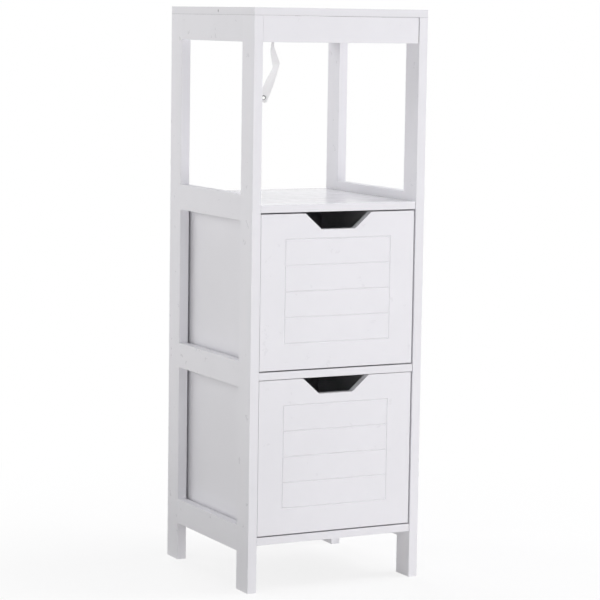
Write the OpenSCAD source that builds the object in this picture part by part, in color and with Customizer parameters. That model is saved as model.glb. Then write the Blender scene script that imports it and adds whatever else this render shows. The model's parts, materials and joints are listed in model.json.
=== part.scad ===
// Slim bathroom storage tower: two side frames, an open compartment under the top,
// and two inset drawers that slide on the boards and show through the side frames.
// Millimetres, +Z up. The origin is on the floor, under the middle of the tower.
// The front faces -Y.

/* [Overall size] */
// Width over the two side frames
tower_w = 300; // [260:1:400]
// Depth from the front edges to the back edges
tower_d = 300; // [260:1:400]
// Height from the floor to the top surface
tower_h = 895; // [830:1:1100]

/* [Side frames] */
// Thickness of the posts and side rails, measured across the tower
post_t = 15; // [14:0.5:20]
// Width of a post, measured from front to back
post_w = 40; // [38:1:50]
// Height of a side rail and of an apron
rail_h = 40; // [38:1:50]
// Free height under the lowest side rails
foot_h = 60; // [30:1:120]
// Radius on the long painted edges
edge_r = 0.6; // [0.3:0.1:1.2]

/* [Boards] */
// Thickness of the top, the shelf, the divider and the bottom
board_t = 12; // [12:0.5:18]
// Height from one board to the next, centre to centre
drawer_pitch = 256; // [210:1:290]
// Thickness of the front and back aprons
apron_t = 15; // [14:0.5:20]
// Open joint at the right end of each board
board_gap = 1.2; // [0.2:0.1:2]
// Open joint at the right end of each apron
apron_gap = 1.8; // [0.2:0.1:2]
// Open joint between each apron and the top
apron_joint = 0.3; // [0:0.1:0.6]
// Thickness of the back panels and of the drawer bottoms
sheet_t = 3; // [2.5:0.1:5]
// Distance from the back edges to the back panels
sheet_inset = 6; // [5:0.5:12]
// Depth of the grooves that hold the thin panels
groove_d = 4; // [3:0.1:4.5]
// Width of the batten under the bottom board
batten_w = 7; // [6.5:0.5:30]
// Height of the batten under the bottom board
batten_h = 8; // [6:0.5:15]
// Distance from the front and back edges to the ends of the batten
batten_inset = 3; // [0:0.5:20]

/* [Drawers] */
// Thickness of a drawer front
front_t = 12; // [11:0.5:18]
// Thickness of the sides and the back of a drawer
box_t = 12; // [11.5:0.5:15]
// Gap over the upper drawer's front
upper_gap_top = 2.2; // [0.6:0.1:4]
// Gap over the lower drawer's front
lower_gap_top = 0.8; // [0.6:0.1:4]
// Gap under a drawer front
front_gap_bottom = 2; // [1:0.1:4]
// Mean gap beside a drawer front
front_gap_side = 1.8; // [1.7:0.1:4]
// How far the drawers sit to the left of the middle
drawer_shift = 1.3; // [0:0.1:1.4]
// How far a drawer side stands in from the end of its front
box_inset = 4.3; // [1:0.1:6]
// How far the drawer sides end below the top of the front
box_drop = 2.5; // [1:0.1:8]
// Running gap between a drawer and the board that it slides on
slide_gap = 0.3; // [0.1:0.1:1]
// Gap between a closed drawer and the back panel that stops it
stop_gap = 0.5; // [0.2:0.1:3]
// Height of the drawer bottom above the lower edge of the sides
bottom_rise = 6; // [5:0.5:15]

/* [Drawer front] */
// Width of the finger pull at the top edge
pull_top_w = 114.5; // [90:0.5:140]
// Width of the finger pull at its lower edge
pull_low_w = 58.5; // [40:0.5:80]
// Depth of the finger pull
pull_d = 25; // [18:1:30]
// Radius in the lower corners of the finger pull
pull_r = 3; // [1:0.5:6]
// Number of slats drawn by the routed lines
slats = 4; // [2:1:6]
// Distance from the ends of the front to the slatted field
field_side = 42; // [30:1:60]
// Distance from the lower edge of the front to the slatted field
field_low = 41; // [30:0.5:60]
// Distance from the upper edge of the lower front to the slatted field
field_top = 40.2; // [35:0.1:60]
// Width of a routed line
line_w = 2.4; // [1.5:0.1:4]
// Depth of a routed line
line_d = 1.2; // [0.6:0.1:2]

/* [Fittings] */
// Diameter of the wooden dowels
dowel_d = 6; // [5:0.5:6.5]
// Length of the dowels between the posts and the side rails
rail_dowel_l = 30; // [20:1:34]
// Length of the dowels at the ends of the boards and aprons
board_dowel_l = 24; // [18:1:30]
// How far those dowels go into the side frames
board_dowel_in = 9; // [6:0.5:10]
// Diameter of the cam locks
cam_d = 15; // [12:0.5:15]
// Distance from a joint to the centre of its cam lock
cam_reach = 24; // [20:1:30]
// Thread diameter of the cam bolts
thread_d = 6; // [5:0.5:6]
// Thread length of the cam bolts
thread_l = 9.5; // [8:0.5:10]
// Clearance round a dowel, a cam lock or a thread
fit = 0.05; // [0.02:0.01:0.1]

/* [Safety strap] */
// Width of the strap
strap_w = 15; // [12:1:18]
// Thickness of the strap
strap_t = 1.2; // [0.8:0.1:1.6]
// Distance of the strap's screw from the middle of the back apron
strap_x = 26; // [0:1:60]
// Clear diameter of an eyelet
eyelet_d = 5; // [4.5:0.1:6]

/* [Hidden] */
$fn = 48;

// Places of the frame
half_w = tower_w / 2;
half_d = tower_d / 2;
frame_x = half_w - post_t;                  // inner face of a side frame
frame_mid = half_w - post_t / 2;            // middle of its thickness
rail_l = tower_d - 2 * post_w;
top_z = tower_h - board_t;                  // underside of the top panel
top_rail_z = top_z - rail_h / 2;            // centre of the top rails and aprons
levels = [0, 1, 2];                         // bottom, divider and shelf
function level_z(i) = foot_h + rail_h / 2 + i * drawer_pitch;
panel_y = half_d - sheet_inset - sheet_t;   // front face of the back panels
sheet_gap = 0.3;                            // play of a thin panel in its groove
sheet_slot = sheet_t + 0.2;                 // width of such a groove
past = 1;                                   // how far a cut starts outside its face

// Places of the fittings
dowel_rise = 10;                            // dowels above and below a rail's centre
dowel_end_gap = 0.5;
board_dowel_y = 40;
top_dowel_y = 60;
apron_dowel_rise = 12;
apron_mid = half_d - apron_t / 2;
cam_y = half_d - post_w / 2;                // cam bolts enter the middle of a post
top_cam_x = 75;
cam_cover = 4;                              // cam body past the bolt's axis
bolt_bore_d = 7;
shank_d = 5;
neck_d = 3.4;
head_d = 6;
drawer_cam_edge = 45;
dimple_y = -23.5;                           // painted pin hole in the top's left edge
dimple_d = 3;
dimple_depth = 0.8;

// Sizes of a drawer, which is drawn about its own middle
front_w = 2 * (frame_x - front_gap_side);
box_w = front_w - 2 * box_inset;
box_y0 = -half_d + front_t;
box_y1 = panel_y - stop_gap;
function floor_z(i) = level_z(i) + board_t / 2;
function ceiling_z(i) = level_z(i + 1) - board_t / 2;
function front_z0(i) = floor_z(i) + front_gap_bottom;
function front_z1(i) = ceiling_z(i) - (i == 1 ? upper_gap_top : lower_gap_top);
function box_z0(i) = floor_z(i) + slide_gap;
function box_z1(i) = front_z1(i) - box_drop;
drawer_screw_d = 4;
drawer_screw_l = 34;
drawer_screw_head = 7.6;
screw_edge = 40;

// Batten screws, up through the batten into the bottom board
batten_screw_d = 3;
batten_screw_l = batten_h + 8;
batten_screw_head = 5.4;
batten_screw_span = 200;

// The strap hangs from its screw: offsets from the screw, then the turn of its width
// about the vertical and its tilt above the level, both in degrees
strap_keys = [
    [[0, 0, 0], 0, 0],
    [[0, 0, -5], 0, 0],
    [[0, -0.3, -7.5], 1, 0],
    [[-3, -4, -18], 25, 0],
    [[-6.5, -8, -28], 50, 0],
    [[-5.5, -6.4, -39], 36, 5],
    [[0.3, -8.8, -63.6], 10, 20]
];
strap_drop = [-22.8, -0.5, -52.8];          // from the fold to the lower eyelet
strap_face = 27.5;                          // which way its lower end faces
strap_settle = 46;                          // it turns that way over this length
strap_end = 7.5;                            // strap past an eyelet's centre
strap_corner = 2.5;
strap_steps = 5;
eyelet_wall = 0.5;
eyelet_flange = 1.6;
eyelet_sheet = 0.4;
eyelet_play = 0.05;
strap_off = eyelet_sheet + 2 * eyelet_play + strap_t / 2;
strap_screw_d = 3.5;
strap_screw_l = 14;
strap_screw_head = 8;
strap_screw_cap = 2.4;
anchor = [strap_x, half_d - apron_t - strap_off, top_rail_z + 3];

// ---------------------------------------------------------------- building blocks

// Rectangle with a small arc in each corner
module eased_outline(a, b) {
    translate([edge_r, 0])
        square([a - 2 * edge_r, b]);
    translate([0, edge_r])
        square([a, b - 2 * edge_r]);
    for (x = [edge_r, a - edge_r], y = [edge_r, b - edge_r])
        translate([x, y])
            circle(r = edge_r);
}

// Board of the given size with its corner at the origin, edges eased along X, Y or Z
module eased_x(size) {
    rotate([90, 0, 90])
        linear_extrude(size.x)
            eased_outline(size.y, size.z);
}

module eased_y(size) {
    translate([0, size.y, 0])
        rotate([90, 0, 0])
            linear_extrude(size.y)
                eased_outline(size.x, size.z);
}

module eased_z(size) {
    linear_extrude(size.z)
        eased_outline(size.x, size.y);
}

// The same thing on the left and on the right
module both_sides() {
    children();
    mirror([1, 0, 0])
        children();
}

module to_side(side) {
    if (side == "left")
        children();
    else
        mirror([1, 0, 0])
            children();
}

// Wooden dowel along Z, centred, with chamfered ends
module dowel(length) {
    chamfer = 0.8;
    r = dowel_d / 2;
    h = length / 2;
    rotate_extrude()
        polygon([[0, -h], [r - chamfer, -h], [r, chamfer - h],
                 [r, h - chamfer], [r - chamfer, h], [0, h]]);
}

module dowel_hole(length) {
    cylinder(h = length + 2 * dowel_end_gap, d = dowel_d + 2 * fit, center = true);
}

// Cam joint: the joint is at x = 0, the board with the cam lies along +X, its middle
// plane is z = 0 and the cam's pocket opens in its face at z = -t / 2.
module cam_bolt() {
    r = thread_d / 2;
    head_x = cam_reach - 1.5;
    rotate([0, 90, 0])
        rotate_extrude()
            polygon([[0, -thread_l], [r - 0.8, -thread_l], [r, 1.6 - thread_l], [r, 0],
                     [r + 0.3, 0], [r + 0.3, 1], [shank_d / 2, 1],
                     [shank_d / 2, head_x - 3], [neck_d / 2, head_x - 2],
                     [neck_d / 2, head_x], [head_d / 2, head_x + 1],
                     [head_d / 2, head_x + 2.4], [head_d / 2 - 0.8, head_x + 3.2],
                     [0, head_x + 3.2]]);
}

module cam_lock(t) {
    translate([cam_reach, 0, -t / 2])
        difference() {
            cylinder(h = t / 2 + cam_cover, d = cam_d);
            translate([0, 0, t / 2])
                sphere(d = head_d + 2.6);
            translate([0, 0, t / 2])
                rotate([0, -90, 0])
                    cylinder(h = cam_d, d = neck_d + 2);
            cross_recess(6, 1.2, 1.6);
        }
}

// Two crossed slots for a screwdriver, cut up from z = 0
module cross_recess(span, slot, depth) {
    for (turn = [0, 90])
        rotate(turn)
            translate([-span / 2, -slot / 2, -past])
                cube([span, slot, depth + past]);
}

module cam_cuts(t) {
    translate([-past, 0, 0])
        rotate([0, 90, 0])
            cylinder(h = cam_reach + past, d = bolt_bore_d);
    translate([cam_reach, 0, -t / 2 - past])
        cylinder(h = past + t / 2 + cam_cover + 0.3, d = cam_d + 2 * fit);
}

module thread_hole() {
    translate([past, 0, 0])
        rotate([0, -90, 0])
            cylinder(h = past + thread_l + dowel_end_gap, d = thread_d + 2 * fit);
}

// Countersunk screw along +Z with its head's face at z = 0
module wood_screw(d, length, head) {
    sink = (head - d) / 2;
    difference() {
        rotate_extrude()
            polygon([[0, 0], [head / 2, 0], [d / 2, sink], [d / 2, length - 3],
                     [0.3, length], [0, length]]);
        cross_recess(head * 0.55, 0.9, sink);
    }
}

module screw_hole(d, length, head) {
    sink = (head - d) / 2;
    translate([0, 0, -past])
        cylinder(h = past + length + 0.3, d = d + 2 * fit);
    translate([0, 0, -past])
        cylinder(h = past + 0.02, d = head + 2 * fit);
    cylinder(h = sink + fit, d1 = head + 2 * fit, d2 = d + 2 * fit - 0.01);
}

// ------------------------------------------------------------ places of the joints
// All of these are for the left side. The first dowel lies along Y, the others along X.

module at_rail_dowels(z_list, ends) {
    for (z = z_list, end = ends, rise = [-dowel_rise, dowel_rise])
        translate([-frame_mid, end * (half_d - post_w), z + rise])
            rotate([90, 0, 0])
                children();
}

module at_board_dowels(z_list) {
    for (z = z_list, y = [-board_dowel_y, board_dowel_y])
        translate([-frame_x + board_dowel_l / 2 - board_dowel_in, y, z])
            rotate([0, 90, 0])
                children();
}

module at_board_bolts(z_list, ends) {
    for (z = z_list, end = ends)
        translate([-frame_x, end * cam_y, z])
            children();
}

// Joints of the front apron, and of the back one where end is 1
module at_apron_dowels(end) {
    for (rise = [-apron_dowel_rise, apron_dowel_rise])
        translate([-frame_x + board_dowel_l / 2 - board_dowel_in, end * apron_mid,
                   top_rail_z + rise])
            rotate([0, 90, 0])
                children();
}

module at_apron_bolt(end) {
    translate([-frame_x, end * apron_mid, top_rail_z])
        rotate([-90 * end, 0, 0])
            children();
}

module at_top_bolts(end) {
    translate([-top_cam_x, end * apron_mid, top_z])
        rotate([0, 90, 0])
            rotate([-90 * end, 0, 0])
                children();
}

module at_top_dowels() {
    for (y = [-top_dowel_y, top_dowel_y])
        translate([-frame_mid, y, top_z + board_dowel_l / 2 - (board_dowel_l - board_dowel_in)])
            children();
}

all_levels = [for (i = levels) level_z(i)];
rail_heights = concat(all_levels, [top_rail_z]);

// ------------------------------------------------------------------ the side frames

// The left front post (end = -1) or the left back post (end = 1)
module left_post(end) {
    y0 = end < 0 ? -half_d : half_d - post_w;
    difference() {
        translate([-half_w, y0, 0])
            eased_post_shape(end);
        at_rail_dowels(rail_heights, [end])
            dowel_hole(rail_dowel_l);
        at_board_bolts(all_levels, [end])
            thread_hole();
        at_apron_bolt(end)
            thread_hole();
        at_apron_dowels(end)
            dowel_hole(board_dowel_l);
        if (end > 0)
            translate([-frame_x - groove_d, panel_y - 0.1, level_z(0)])
                cube([groove_d + past, sheet_slot, level_z(2) - level_z(0)]);
    }
}

// Post with its two outer edges eased and its rail edge left square
module eased_post_shape(end) {
    square_y = end < 0 ? post_w / 2 : 0;
    eased_z([post_t, post_w, top_z]);
    translate([0, square_y, 0])
        cube([post_t, post_w / 2, top_z]);
}

module left_rail(z, end_cuts = true) {
    difference() {
        translate([-half_w, -rail_l / 2, z - rail_h / 2])
            eased_y([post_t, rail_l, rail_h]);
        at_rail_dowels([z], [-1, 1])
            dowel_hole(rail_dowel_l);
        if (end_cuts)
            at_board_dowels([z])
                dowel_hole(board_dowel_l);
        else
            at_top_dowels()
                dowel_hole(board_dowel_l);
    }
}

module painted(tone = 0.93) {
    color([tone, tone, tone + 0.02])
        children();
}

module front_left_post() {
    painted()
        left_post(-1);
}

module front_right_post() {
    painted()
        to_side("right")
            left_post(-1);
}

module back_left_post() {
    painted()
        left_post(1);
}

module back_right_post() {
    painted()
        to_side("right")
            left_post(1);
}

module side_rail(side, z, end_cuts = true) {
    painted(0.91)
        to_side(side)
            left_rail(z, end_cuts);
}

module left_bottom_rail() {
    side_rail("left", level_z(0));
}

module left_middle_rail() {
    side_rail("left", level_z(1));
}

module left_upper_rail() {
    side_rail("left", level_z(2));
}

module left_top_rail() {
    side_rail("left", top_rail_z, false);
}

module right_bottom_rail() {
    side_rail("right", level_z(0));
}

module right_middle_rail() {
    side_rail("right", level_z(1));
}

module right_upper_rail() {
    side_rail("right", level_z(2));
}

module right_top_rail() {
    side_rail("right", top_rail_z, false);
}

// ------------------------------------------------------------------------ the boards

module top_panel() {
    painted(0.94)
        difference() {
            translate([-half_w, -half_d, top_z])
                intersection() {
                    eased_x([tower_w, tower_d, board_t]);
                    eased_y([tower_w, tower_d, board_t]);
                    eased_z([tower_w, tower_d, board_t]);
                }
            both_sides()
                at_top_dowels()
                    dowel_hole(board_dowel_l);
            both_sides()
                for (end = [-1, 1])
                    at_top_bolts(end)
                        thread_hole();
            translate([-half_w - past, dimple_y, tower_h - board_t / 2])
                rotate([0, 90, 0])
                    cylinder(h = past + dimple_depth, d = dimple_d);
        }
}

// Front apron where end is -1, back apron where end is 1
module apron(end) {
    y0 = end < 0 ? -half_d : half_d - apron_t;
    difference() {
        translate([-frame_x, y0, top_z - rail_h])
            eased_x([2 * frame_x - apron_gap, apron_t, rail_h - apron_joint]);
        both_sides() {
            at_apron_dowels(end)
                dowel_hole(board_dowel_l);
            at_apron_bolt(end)
                cam_cuts(apron_t);
            at_top_bolts(end)
                cam_cuts(apron_t);
        }
    }
}

module front_apron() {
    painted()
        apron(-1);
}

module back_apron() {
    painted(0.91)
        difference() {
            apron(1);
            translate([anchor.x, half_d - apron_t, anchor.z])
                rotate([-90, 0, 0])
                    screw_hole(strap_screw_d, strap_screw_l - strap_off - 1, strap_screw_d);
        }
}

// Board i between the side frames, with grooves for the back panels above and below it
module level_board(i) {
    z = level_z(i);
    difference() {
        translate([-frame_x, -half_d, z - board_t / 2])
            eased_x([2 * frame_x - board_gap, tower_d, board_t]);
        both_sides() {
            at_board_dowels([z])
                dowel_hole(board_dowel_l);
            at_board_bolts([z], [-1, 1])
                cam_cuts(board_t);
        }
        if (i < 2)
            translate([-frame_x - past, panel_y - 0.1, z + board_t / 2 - groove_d])
                cube([2 * (frame_x + past), sheet_slot, groove_d + past]);
        if (i > 0)
            translate([-frame_x - past, panel_y - 0.1, z - board_t / 2 - past])
                cube([2 * (frame_x + past), sheet_slot, groove_d + past]);
    }
}

module shelf_board() {
    painted(0.94)
        level_board(2);
}

module divider_board() {
    painted(0.92)
        level_board(1);
}

module bottom_board() {
    painted(0.92)
        difference() {
            level_board(0);
            at_batten_screws()
                screw_hole(batten_screw_d, batten_screw_l, batten_screw_d);
        }
}

module at_batten_screws() {
    for (y = [-batten_screw_span / 2, 0, batten_screw_span / 2])
        translate([0, y, level_z(0) - board_t / 2 - batten_h])
            children();
}

module bottom_batten() {
    painted(0.9)
        difference() {
            translate([-batten_w / 2, -half_d + batten_inset, level_z(0) - board_t / 2 - batten_h])
                cube([batten_w, tower_d - 2 * batten_inset, batten_h]);
            at_batten_screws()
                screw_hole(batten_screw_d, batten_screw_l, batten_screw_head);
        }
}

module back_panel(i) {
    w = 2 * (frame_x + groove_d - sheet_gap);
    z0 = level_z(i) + board_t / 2 - groove_d + sheet_gap;
    z1 = level_z(i + 1) - board_t / 2 + groove_d - sheet_gap;
    color([0.86, 0.86, 0.87])
        translate([-w / 2, panel_y, z0])
            cube([w, sheet_t, z1 - z0]);
}

module upper_back_panel() {
    back_panel(1);
}

module lower_back_panel() {
    back_panel(0);
}

// ----------------------------------------------------------------------- the drawers

module at_drawer() {
    translate([-drawer_shift, 0, 0])
        children();
}

// Outline of the finger pull, drawn down from y = 0, with round lower corners
module pull_outline() {
    lean = atan2(pull_d, (pull_top_w - pull_low_w) / 2);
    cut = pull_r * tan(lean / 2);
    low_x = pull_low_w / 2;
    top_x = pull_top_w / 2;
    run = (top_x - low_x) / pull_d;
    polygon([[-top_x - run * past, past], [-low_x - cut * cos(lean), cut * sin(lean) - pull_d],
             [-low_x + cut, -pull_d], [low_x - cut, -pull_d],
             [low_x + cut * cos(lean), cut * sin(lean) - pull_d], [top_x + run * past, past]]);
    for (side = [-1, 1])
        translate([side * (low_x - cut), pull_r - pull_d])
            circle(r = pull_r);
}

// Routed V line from the origin along +X, cut into the face y = 0
module v_line(length) {
    r = line_w / 2;
    over = 0.4;
    wide = r * (1 + over / line_d);
    rotate([90, 0, 90])
        linear_extrude(length)
            polygon([[-over, -wide], [line_d, 0], [-over, wide]]);
    for (x = [0, length])
        translate([x, -over, 0])
            rotate([-90, 0, 0])
                cylinder(h = line_d + over, r1 = wide, r2 = 0);
}

// The same field on both fronts, which differ a little in height
module slat_lines() {
    field_w = front_w - 2 * field_side;
    field_h = front_z1(0) - front_z0(0) - field_low - field_top;
    for (i = [0 : slats])
        translate([-field_w / 2, 0, field_low + i * field_h / slats])
            v_line(field_w);
    for (x = [-field_w / 2, field_w / 2])
        translate([x, 0, field_low])
            rotate([0, -90, 0])
                v_line(field_h);
}

// Joints between a drawer's front and its left side
module at_drawer_bolts(i) {
    for (z = [box_z0(i) + drawer_cam_edge, box_z1(i) - drawer_cam_edge])
        translate([-box_w / 2 + box_t / 2, box_y0, z])
            rotate([0, 0, 90])
                rotate([-90, 0, 0])
                    children();
}

// Screws through a drawer's left side into its back
module at_drawer_screws(i) {
    for (z = [box_z0(i) + screw_edge, box_z1(i) - screw_edge])
        translate([-box_w / 2, box_y1 - box_t / 2, z])
            rotate([0, 90, 0])
                children();
}

// Space of the drawer bottom, larger all round by the given play
module bottom_sheet(i, play) {
    w = box_w - 2 * box_t + 2 * (groove_d - sheet_gap) + 2 * play;
    y0 = box_y0 - groove_d + sheet_gap - play;
    y1 = box_y1 - box_t + groove_d - sheet_gap + play;
    lift = play > 0 ? 0.1 : 0;
    translate([-w / 2, y0, box_z0(i) + bottom_rise - lift])
        cube([w, y1 - y0, sheet_t + 2 * lift]);
}

module drawer_front(i) {
    height = front_z1(i) - front_z0(i);
    painted(0.93)
        at_drawer()
            difference() {
                translate([-front_w / 2, -half_d, front_z0(i)])
                    intersection() {
                        eased_x([front_w, front_t, height]);
                        eased_z([front_w, front_t, height]);
                    }
                translate([0, -half_d + front_t + past, front_z1(i)])
                    rotate([90, 0, 0])
                        linear_extrude(front_t + 2 * past)
                            pull_outline();
                translate([0, -half_d, front_z0(i)])
                    slat_lines();
                both_sides()
                    at_drawer_bolts(i)
                        thread_hole();
                bottom_sheet(i, sheet_gap);
            }
}

module drawer_side(i, side) {
    painted(0.92)
        at_drawer()
            to_side(side)
                difference() {
                    translate([-box_w / 2, box_y0, box_z0(i)])
                        eased_y([box_t, box_y1 - box_y0, box_z1(i) - box_z0(i)]);
                    at_drawer_bolts(i)
                        cam_cuts(box_t);
                    at_drawer_screws(i)
                        screw_hole(drawer_screw_d, drawer_screw_l, drawer_screw_head);
                    bottom_sheet(i, sheet_gap);
                }
}

module drawer_back(i) {
    w = box_w - 2 * box_t;
    painted(0.92)
        at_drawer()
            difference() {
                translate([-w / 2, box_y1 - box_t, box_z0(i)])
                    eased_x([w, box_t, box_z1(i) - box_z0(i)]);
                both_sides()
                    at_drawer_screws(i)
                        screw_hole(drawer_screw_d, drawer_screw_l, drawer_screw_head);
                bottom_sheet(i, sheet_gap);
            }
}

module drawer_bottom(i) {
    color([0.88, 0.88, 0.89])
        at_drawer()
            bottom_sheet(i, 0);
}

module drawer_cam_locks(i) {
    color([0.72, 0.72, 0.7])
        at_drawer()
            both_sides()
                at_drawer_bolts(i)
                    cam_lock(box_t);
}

module drawer_cam_bolts(i) {
    color([0.6, 0.6, 0.6])
        at_drawer()
            both_sides()
                at_drawer_bolts(i)
                    cam_bolt();
}

module drawer_screws(i) {
    color([0.75, 0.72, 0.6])
        at_drawer()
            both_sides()
                at_drawer_screws(i)
                    wood_screw(drawer_screw_d, drawer_screw_l, drawer_screw_head);
}

module upper_drawer_front() {
    drawer_front(1);
}

module upper_drawer_left_side() {
    drawer_side(1, "left");
}

module upper_drawer_right_side() {
    drawer_side(1, "right");
}

module upper_drawer_back() {
    drawer_back(1);
}

module upper_drawer_bottom() {
    drawer_bottom(1);
}

module upper_drawer_cam_locks() {
    drawer_cam_locks(1);
}

module upper_drawer_cam_bolts() {
    drawer_cam_bolts(1);
}

module upper_drawer_screws() {
    drawer_screws(1);
}

module lower_drawer_front() {
    drawer_front(0);
}

module lower_drawer_left_side() {
    drawer_side(0, "left");
}

module lower_drawer_right_side() {
    drawer_side(0, "right");
}

module lower_drawer_back() {
    drawer_back(0);
}

module lower_drawer_bottom() {
    drawer_bottom(0);
}

module lower_drawer_cam_locks() {
    drawer_cam_locks(0);
}

module lower_drawer_cam_bolts() {
    drawer_cam_bolts(0);
}

module lower_drawer_screws() {
    drawer_screws(0);
}

// ---------------------------------------------------------------------- the fittings

module rail_dowels() {
    color([0.82, 0.7, 0.5])
        both_sides()
            at_rail_dowels(rail_heights, [-1, 1])
                dowel(rail_dowel_l);
}

module board_dowels() {
    color([0.82, 0.7, 0.5])
        both_sides()
            at_board_dowels(all_levels)
                dowel(board_dowel_l);
}

module apron_dowels() {
    color([0.82, 0.7, 0.5])
        both_sides()
            for (end = [-1, 1])
                at_apron_dowels(end)
                    dowel(board_dowel_l);
}

module top_dowels() {
    color([0.82, 0.7, 0.5])
        both_sides()
            at_top_dowels()
                dowel(board_dowel_l);
}

module board_cam_locks() {
    color([0.72, 0.72, 0.7])
        both_sides()
            at_board_bolts(all_levels, [-1, 1])
                cam_lock(board_t);
}

module board_cam_bolts() {
    color([0.6, 0.6, 0.6])
        both_sides()
            at_board_bolts(all_levels, [-1, 1])
                cam_bolt();
}

module apron_cam_locks() {
    color([0.72, 0.72, 0.7])
        both_sides()
            for (end = [-1, 1]) {
                at_apron_bolt(end)
                    cam_lock(apron_t);
                at_top_bolts(end)
                    cam_lock(apron_t);
            }
}

module apron_cam_bolts() {
    color([0.6, 0.6, 0.6])
        both_sides()
            for (end = [-1, 1]) {
                at_apron_bolt(end)
                    cam_bolt();
                at_top_bolts(end)
                    cam_bolt();
            }
}

module batten_screws() {
    color([0.75, 0.72, 0.6])
        at_batten_screws()
            wood_screw(batten_screw_d, batten_screw_l, batten_screw_head);
}

// ------------------------------------------------------------------ the safety strap

function unit(v) = v / norm(v);
function width_way(turn, tilt) =
    [cos(tilt) * cos(turn), cos(tilt) * sin(turn), sin(tilt)];

// A smooth curve through four values, at u between the two in the middle
function blend(a, b, c, d, u) =
    0.5 * (2 * b + (c - a) * u + (2 * a - 5 * b + 4 * c - d) * u * u
           + (3 * b - a - 3 * c + d) * u * u * u);
last_key = len(strap_keys) - 1;
function key(i, part) = strap_keys[max(0, min(last_key, i))][part];
function on_curve(i, u, part) =
    blend(key(i - 1, part), key(i, part), key(i + 1, part), key(i + 2, part), u);

// Stations of the strap: its middle, the way of its width and its half width
drop_way = unit(strap_drop);
face_way = [sin(strap_face), cos(strap_face), 0];
low_width = unit(cross(drop_way, face_way));
low_out = cross(low_width, drop_way);
fold = strap_keys[last_key][0];
fold_width = width_way(strap_keys[last_key][1], strap_keys[last_key][2]);
low_eyelet = fold + strap_drop;
upper_stations = [
    for (i = [0 : last_key - 1], s = [0 : strap_steps - 1])
        [on_curve(i, s / strap_steps, 0),
         width_way(on_curve(i, s / strap_steps, 1), on_curve(i, s / strap_steps, 2)),
         strap_w / 2]
];
end_stations = [
    [[0, 0, strap_end], [1, 0, 0], strap_w / 2 - strap_corner],
    [[0, 0, strap_end - strap_corner], [1, 0, 0], strap_w / 2]
];
// Below the fold the width turns smoothly from the fold's way to the end's
function settled(s) = let (u = min(1, s / strap_settle)) u * u * (3 - 2 * u);
lower_stations = [
    for (s = [0, 6, 14, 22, 30, 38, 46])
        [fold + drop_way * s,
         unit(fold_width * (1 - settled(s)) + low_width * settled(s)), strap_w / 2]
];
free_end_stations = [
    [low_eyelet + drop_way * (strap_end - strap_corner), low_width, strap_w / 2],
    [low_eyelet + drop_way * strap_end, low_width, strap_w / 2 - strap_corner]
];
stations = concat(end_stations, upper_stations, lower_stations, free_end_stations);

function station_way(i) =
    unit(stations[min(i + 1, len(stations) - 1)][0] - stations[max(i - 1, 0)][0]);
function station_ring(i) =
    let (middle = anchor + stations[i][0],
         across = stations[i][1] * stations[i][2],
         out = unit(cross(stations[i][1], station_way(i))) * strap_t / 2)
    [middle + across + out, middle - across + out, middle - across - out,
     middle + across - out];

module strap_band() {
    n = len(stations);
    points = [for (i = [0 : n - 1]) each station_ring(i)];
    sides = [
        for (i = [0 : n - 2], k = [0 : 3])
            let (a = 4 * i + k, b = 4 * i + (k + 1) % 4)
            each [[a, b, b + 4], [a, b + 4, a + 4]]
    ];
    last = 4 * (n - 1);
    caps = [[0, 2, 1], [0, 3, 2], [last, last + 1, last + 2], [last, last + 2, last + 3]];
    polyhedron(points, concat(sides, caps));
}

// Placed at the screw's eyelet and at the free one, with Z through the hole
module at_eyelets() {
    translate(anchor)
        rotate([90, 0, 0])
            children();
    translate(anchor + low_eyelet)
        rotate([0, acos(low_out.z), atan2(low_out.y, low_out.x)])
            children();
}

module safety_strap() {
    color([0.9, 0.9, 0.9])
        difference() {
            strap_band();
            at_eyelets()
                cylinder(h = 6, d = eyelet_d + 2 * (eyelet_wall + eyelet_play), center = true);
        }
}

// Rolled metal ring with a flange on each face of the strap
module eyelet() {
    r = eyelet_d / 2;
    tube = r + eyelet_wall;
    rim = tube + eyelet_flange;
    inner = strap_t / 2 + eyelet_play;
    outer = inner + eyelet_sheet;
    rotate_extrude()
        polygon([[r, -outer], [rim, -outer], [rim, -inner], [tube, -inner],
                 [tube, inner], [rim, inner], [rim, outer], [r, outer]]);
}

module strap_eyelets() {
    color([0.55, 0.55, 0.56])
        at_eyelets()
            eyelet();
}

// Pan-head screw through the upper eyelet into the back apron
module strap_screw() {
    r = strap_screw_d / 2;
    cap = strap_screw_head / 2;
    seat = strap_off;
    color([0.75, 0.75, 0.76])
        translate(anchor)
            rotate([-90, 0, 0])
                difference() {
                    rotate_extrude()
                        polygon([[0, -seat - strap_screw_cap], [cap * 0.7, -seat - strap_screw_cap],
                                 [cap, -seat - strap_screw_cap * 0.45], [cap, -seat], [r, -seat],
                                 [r, strap_screw_l - seat - 3], [0.3, strap_screw_l - seat],
                                 [0, strap_screw_l - seat]]);
                    translate([0, 0, -seat - strap_screw_cap])
                        cross_recess(4, 0.9, 1.3);
                }
}

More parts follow.
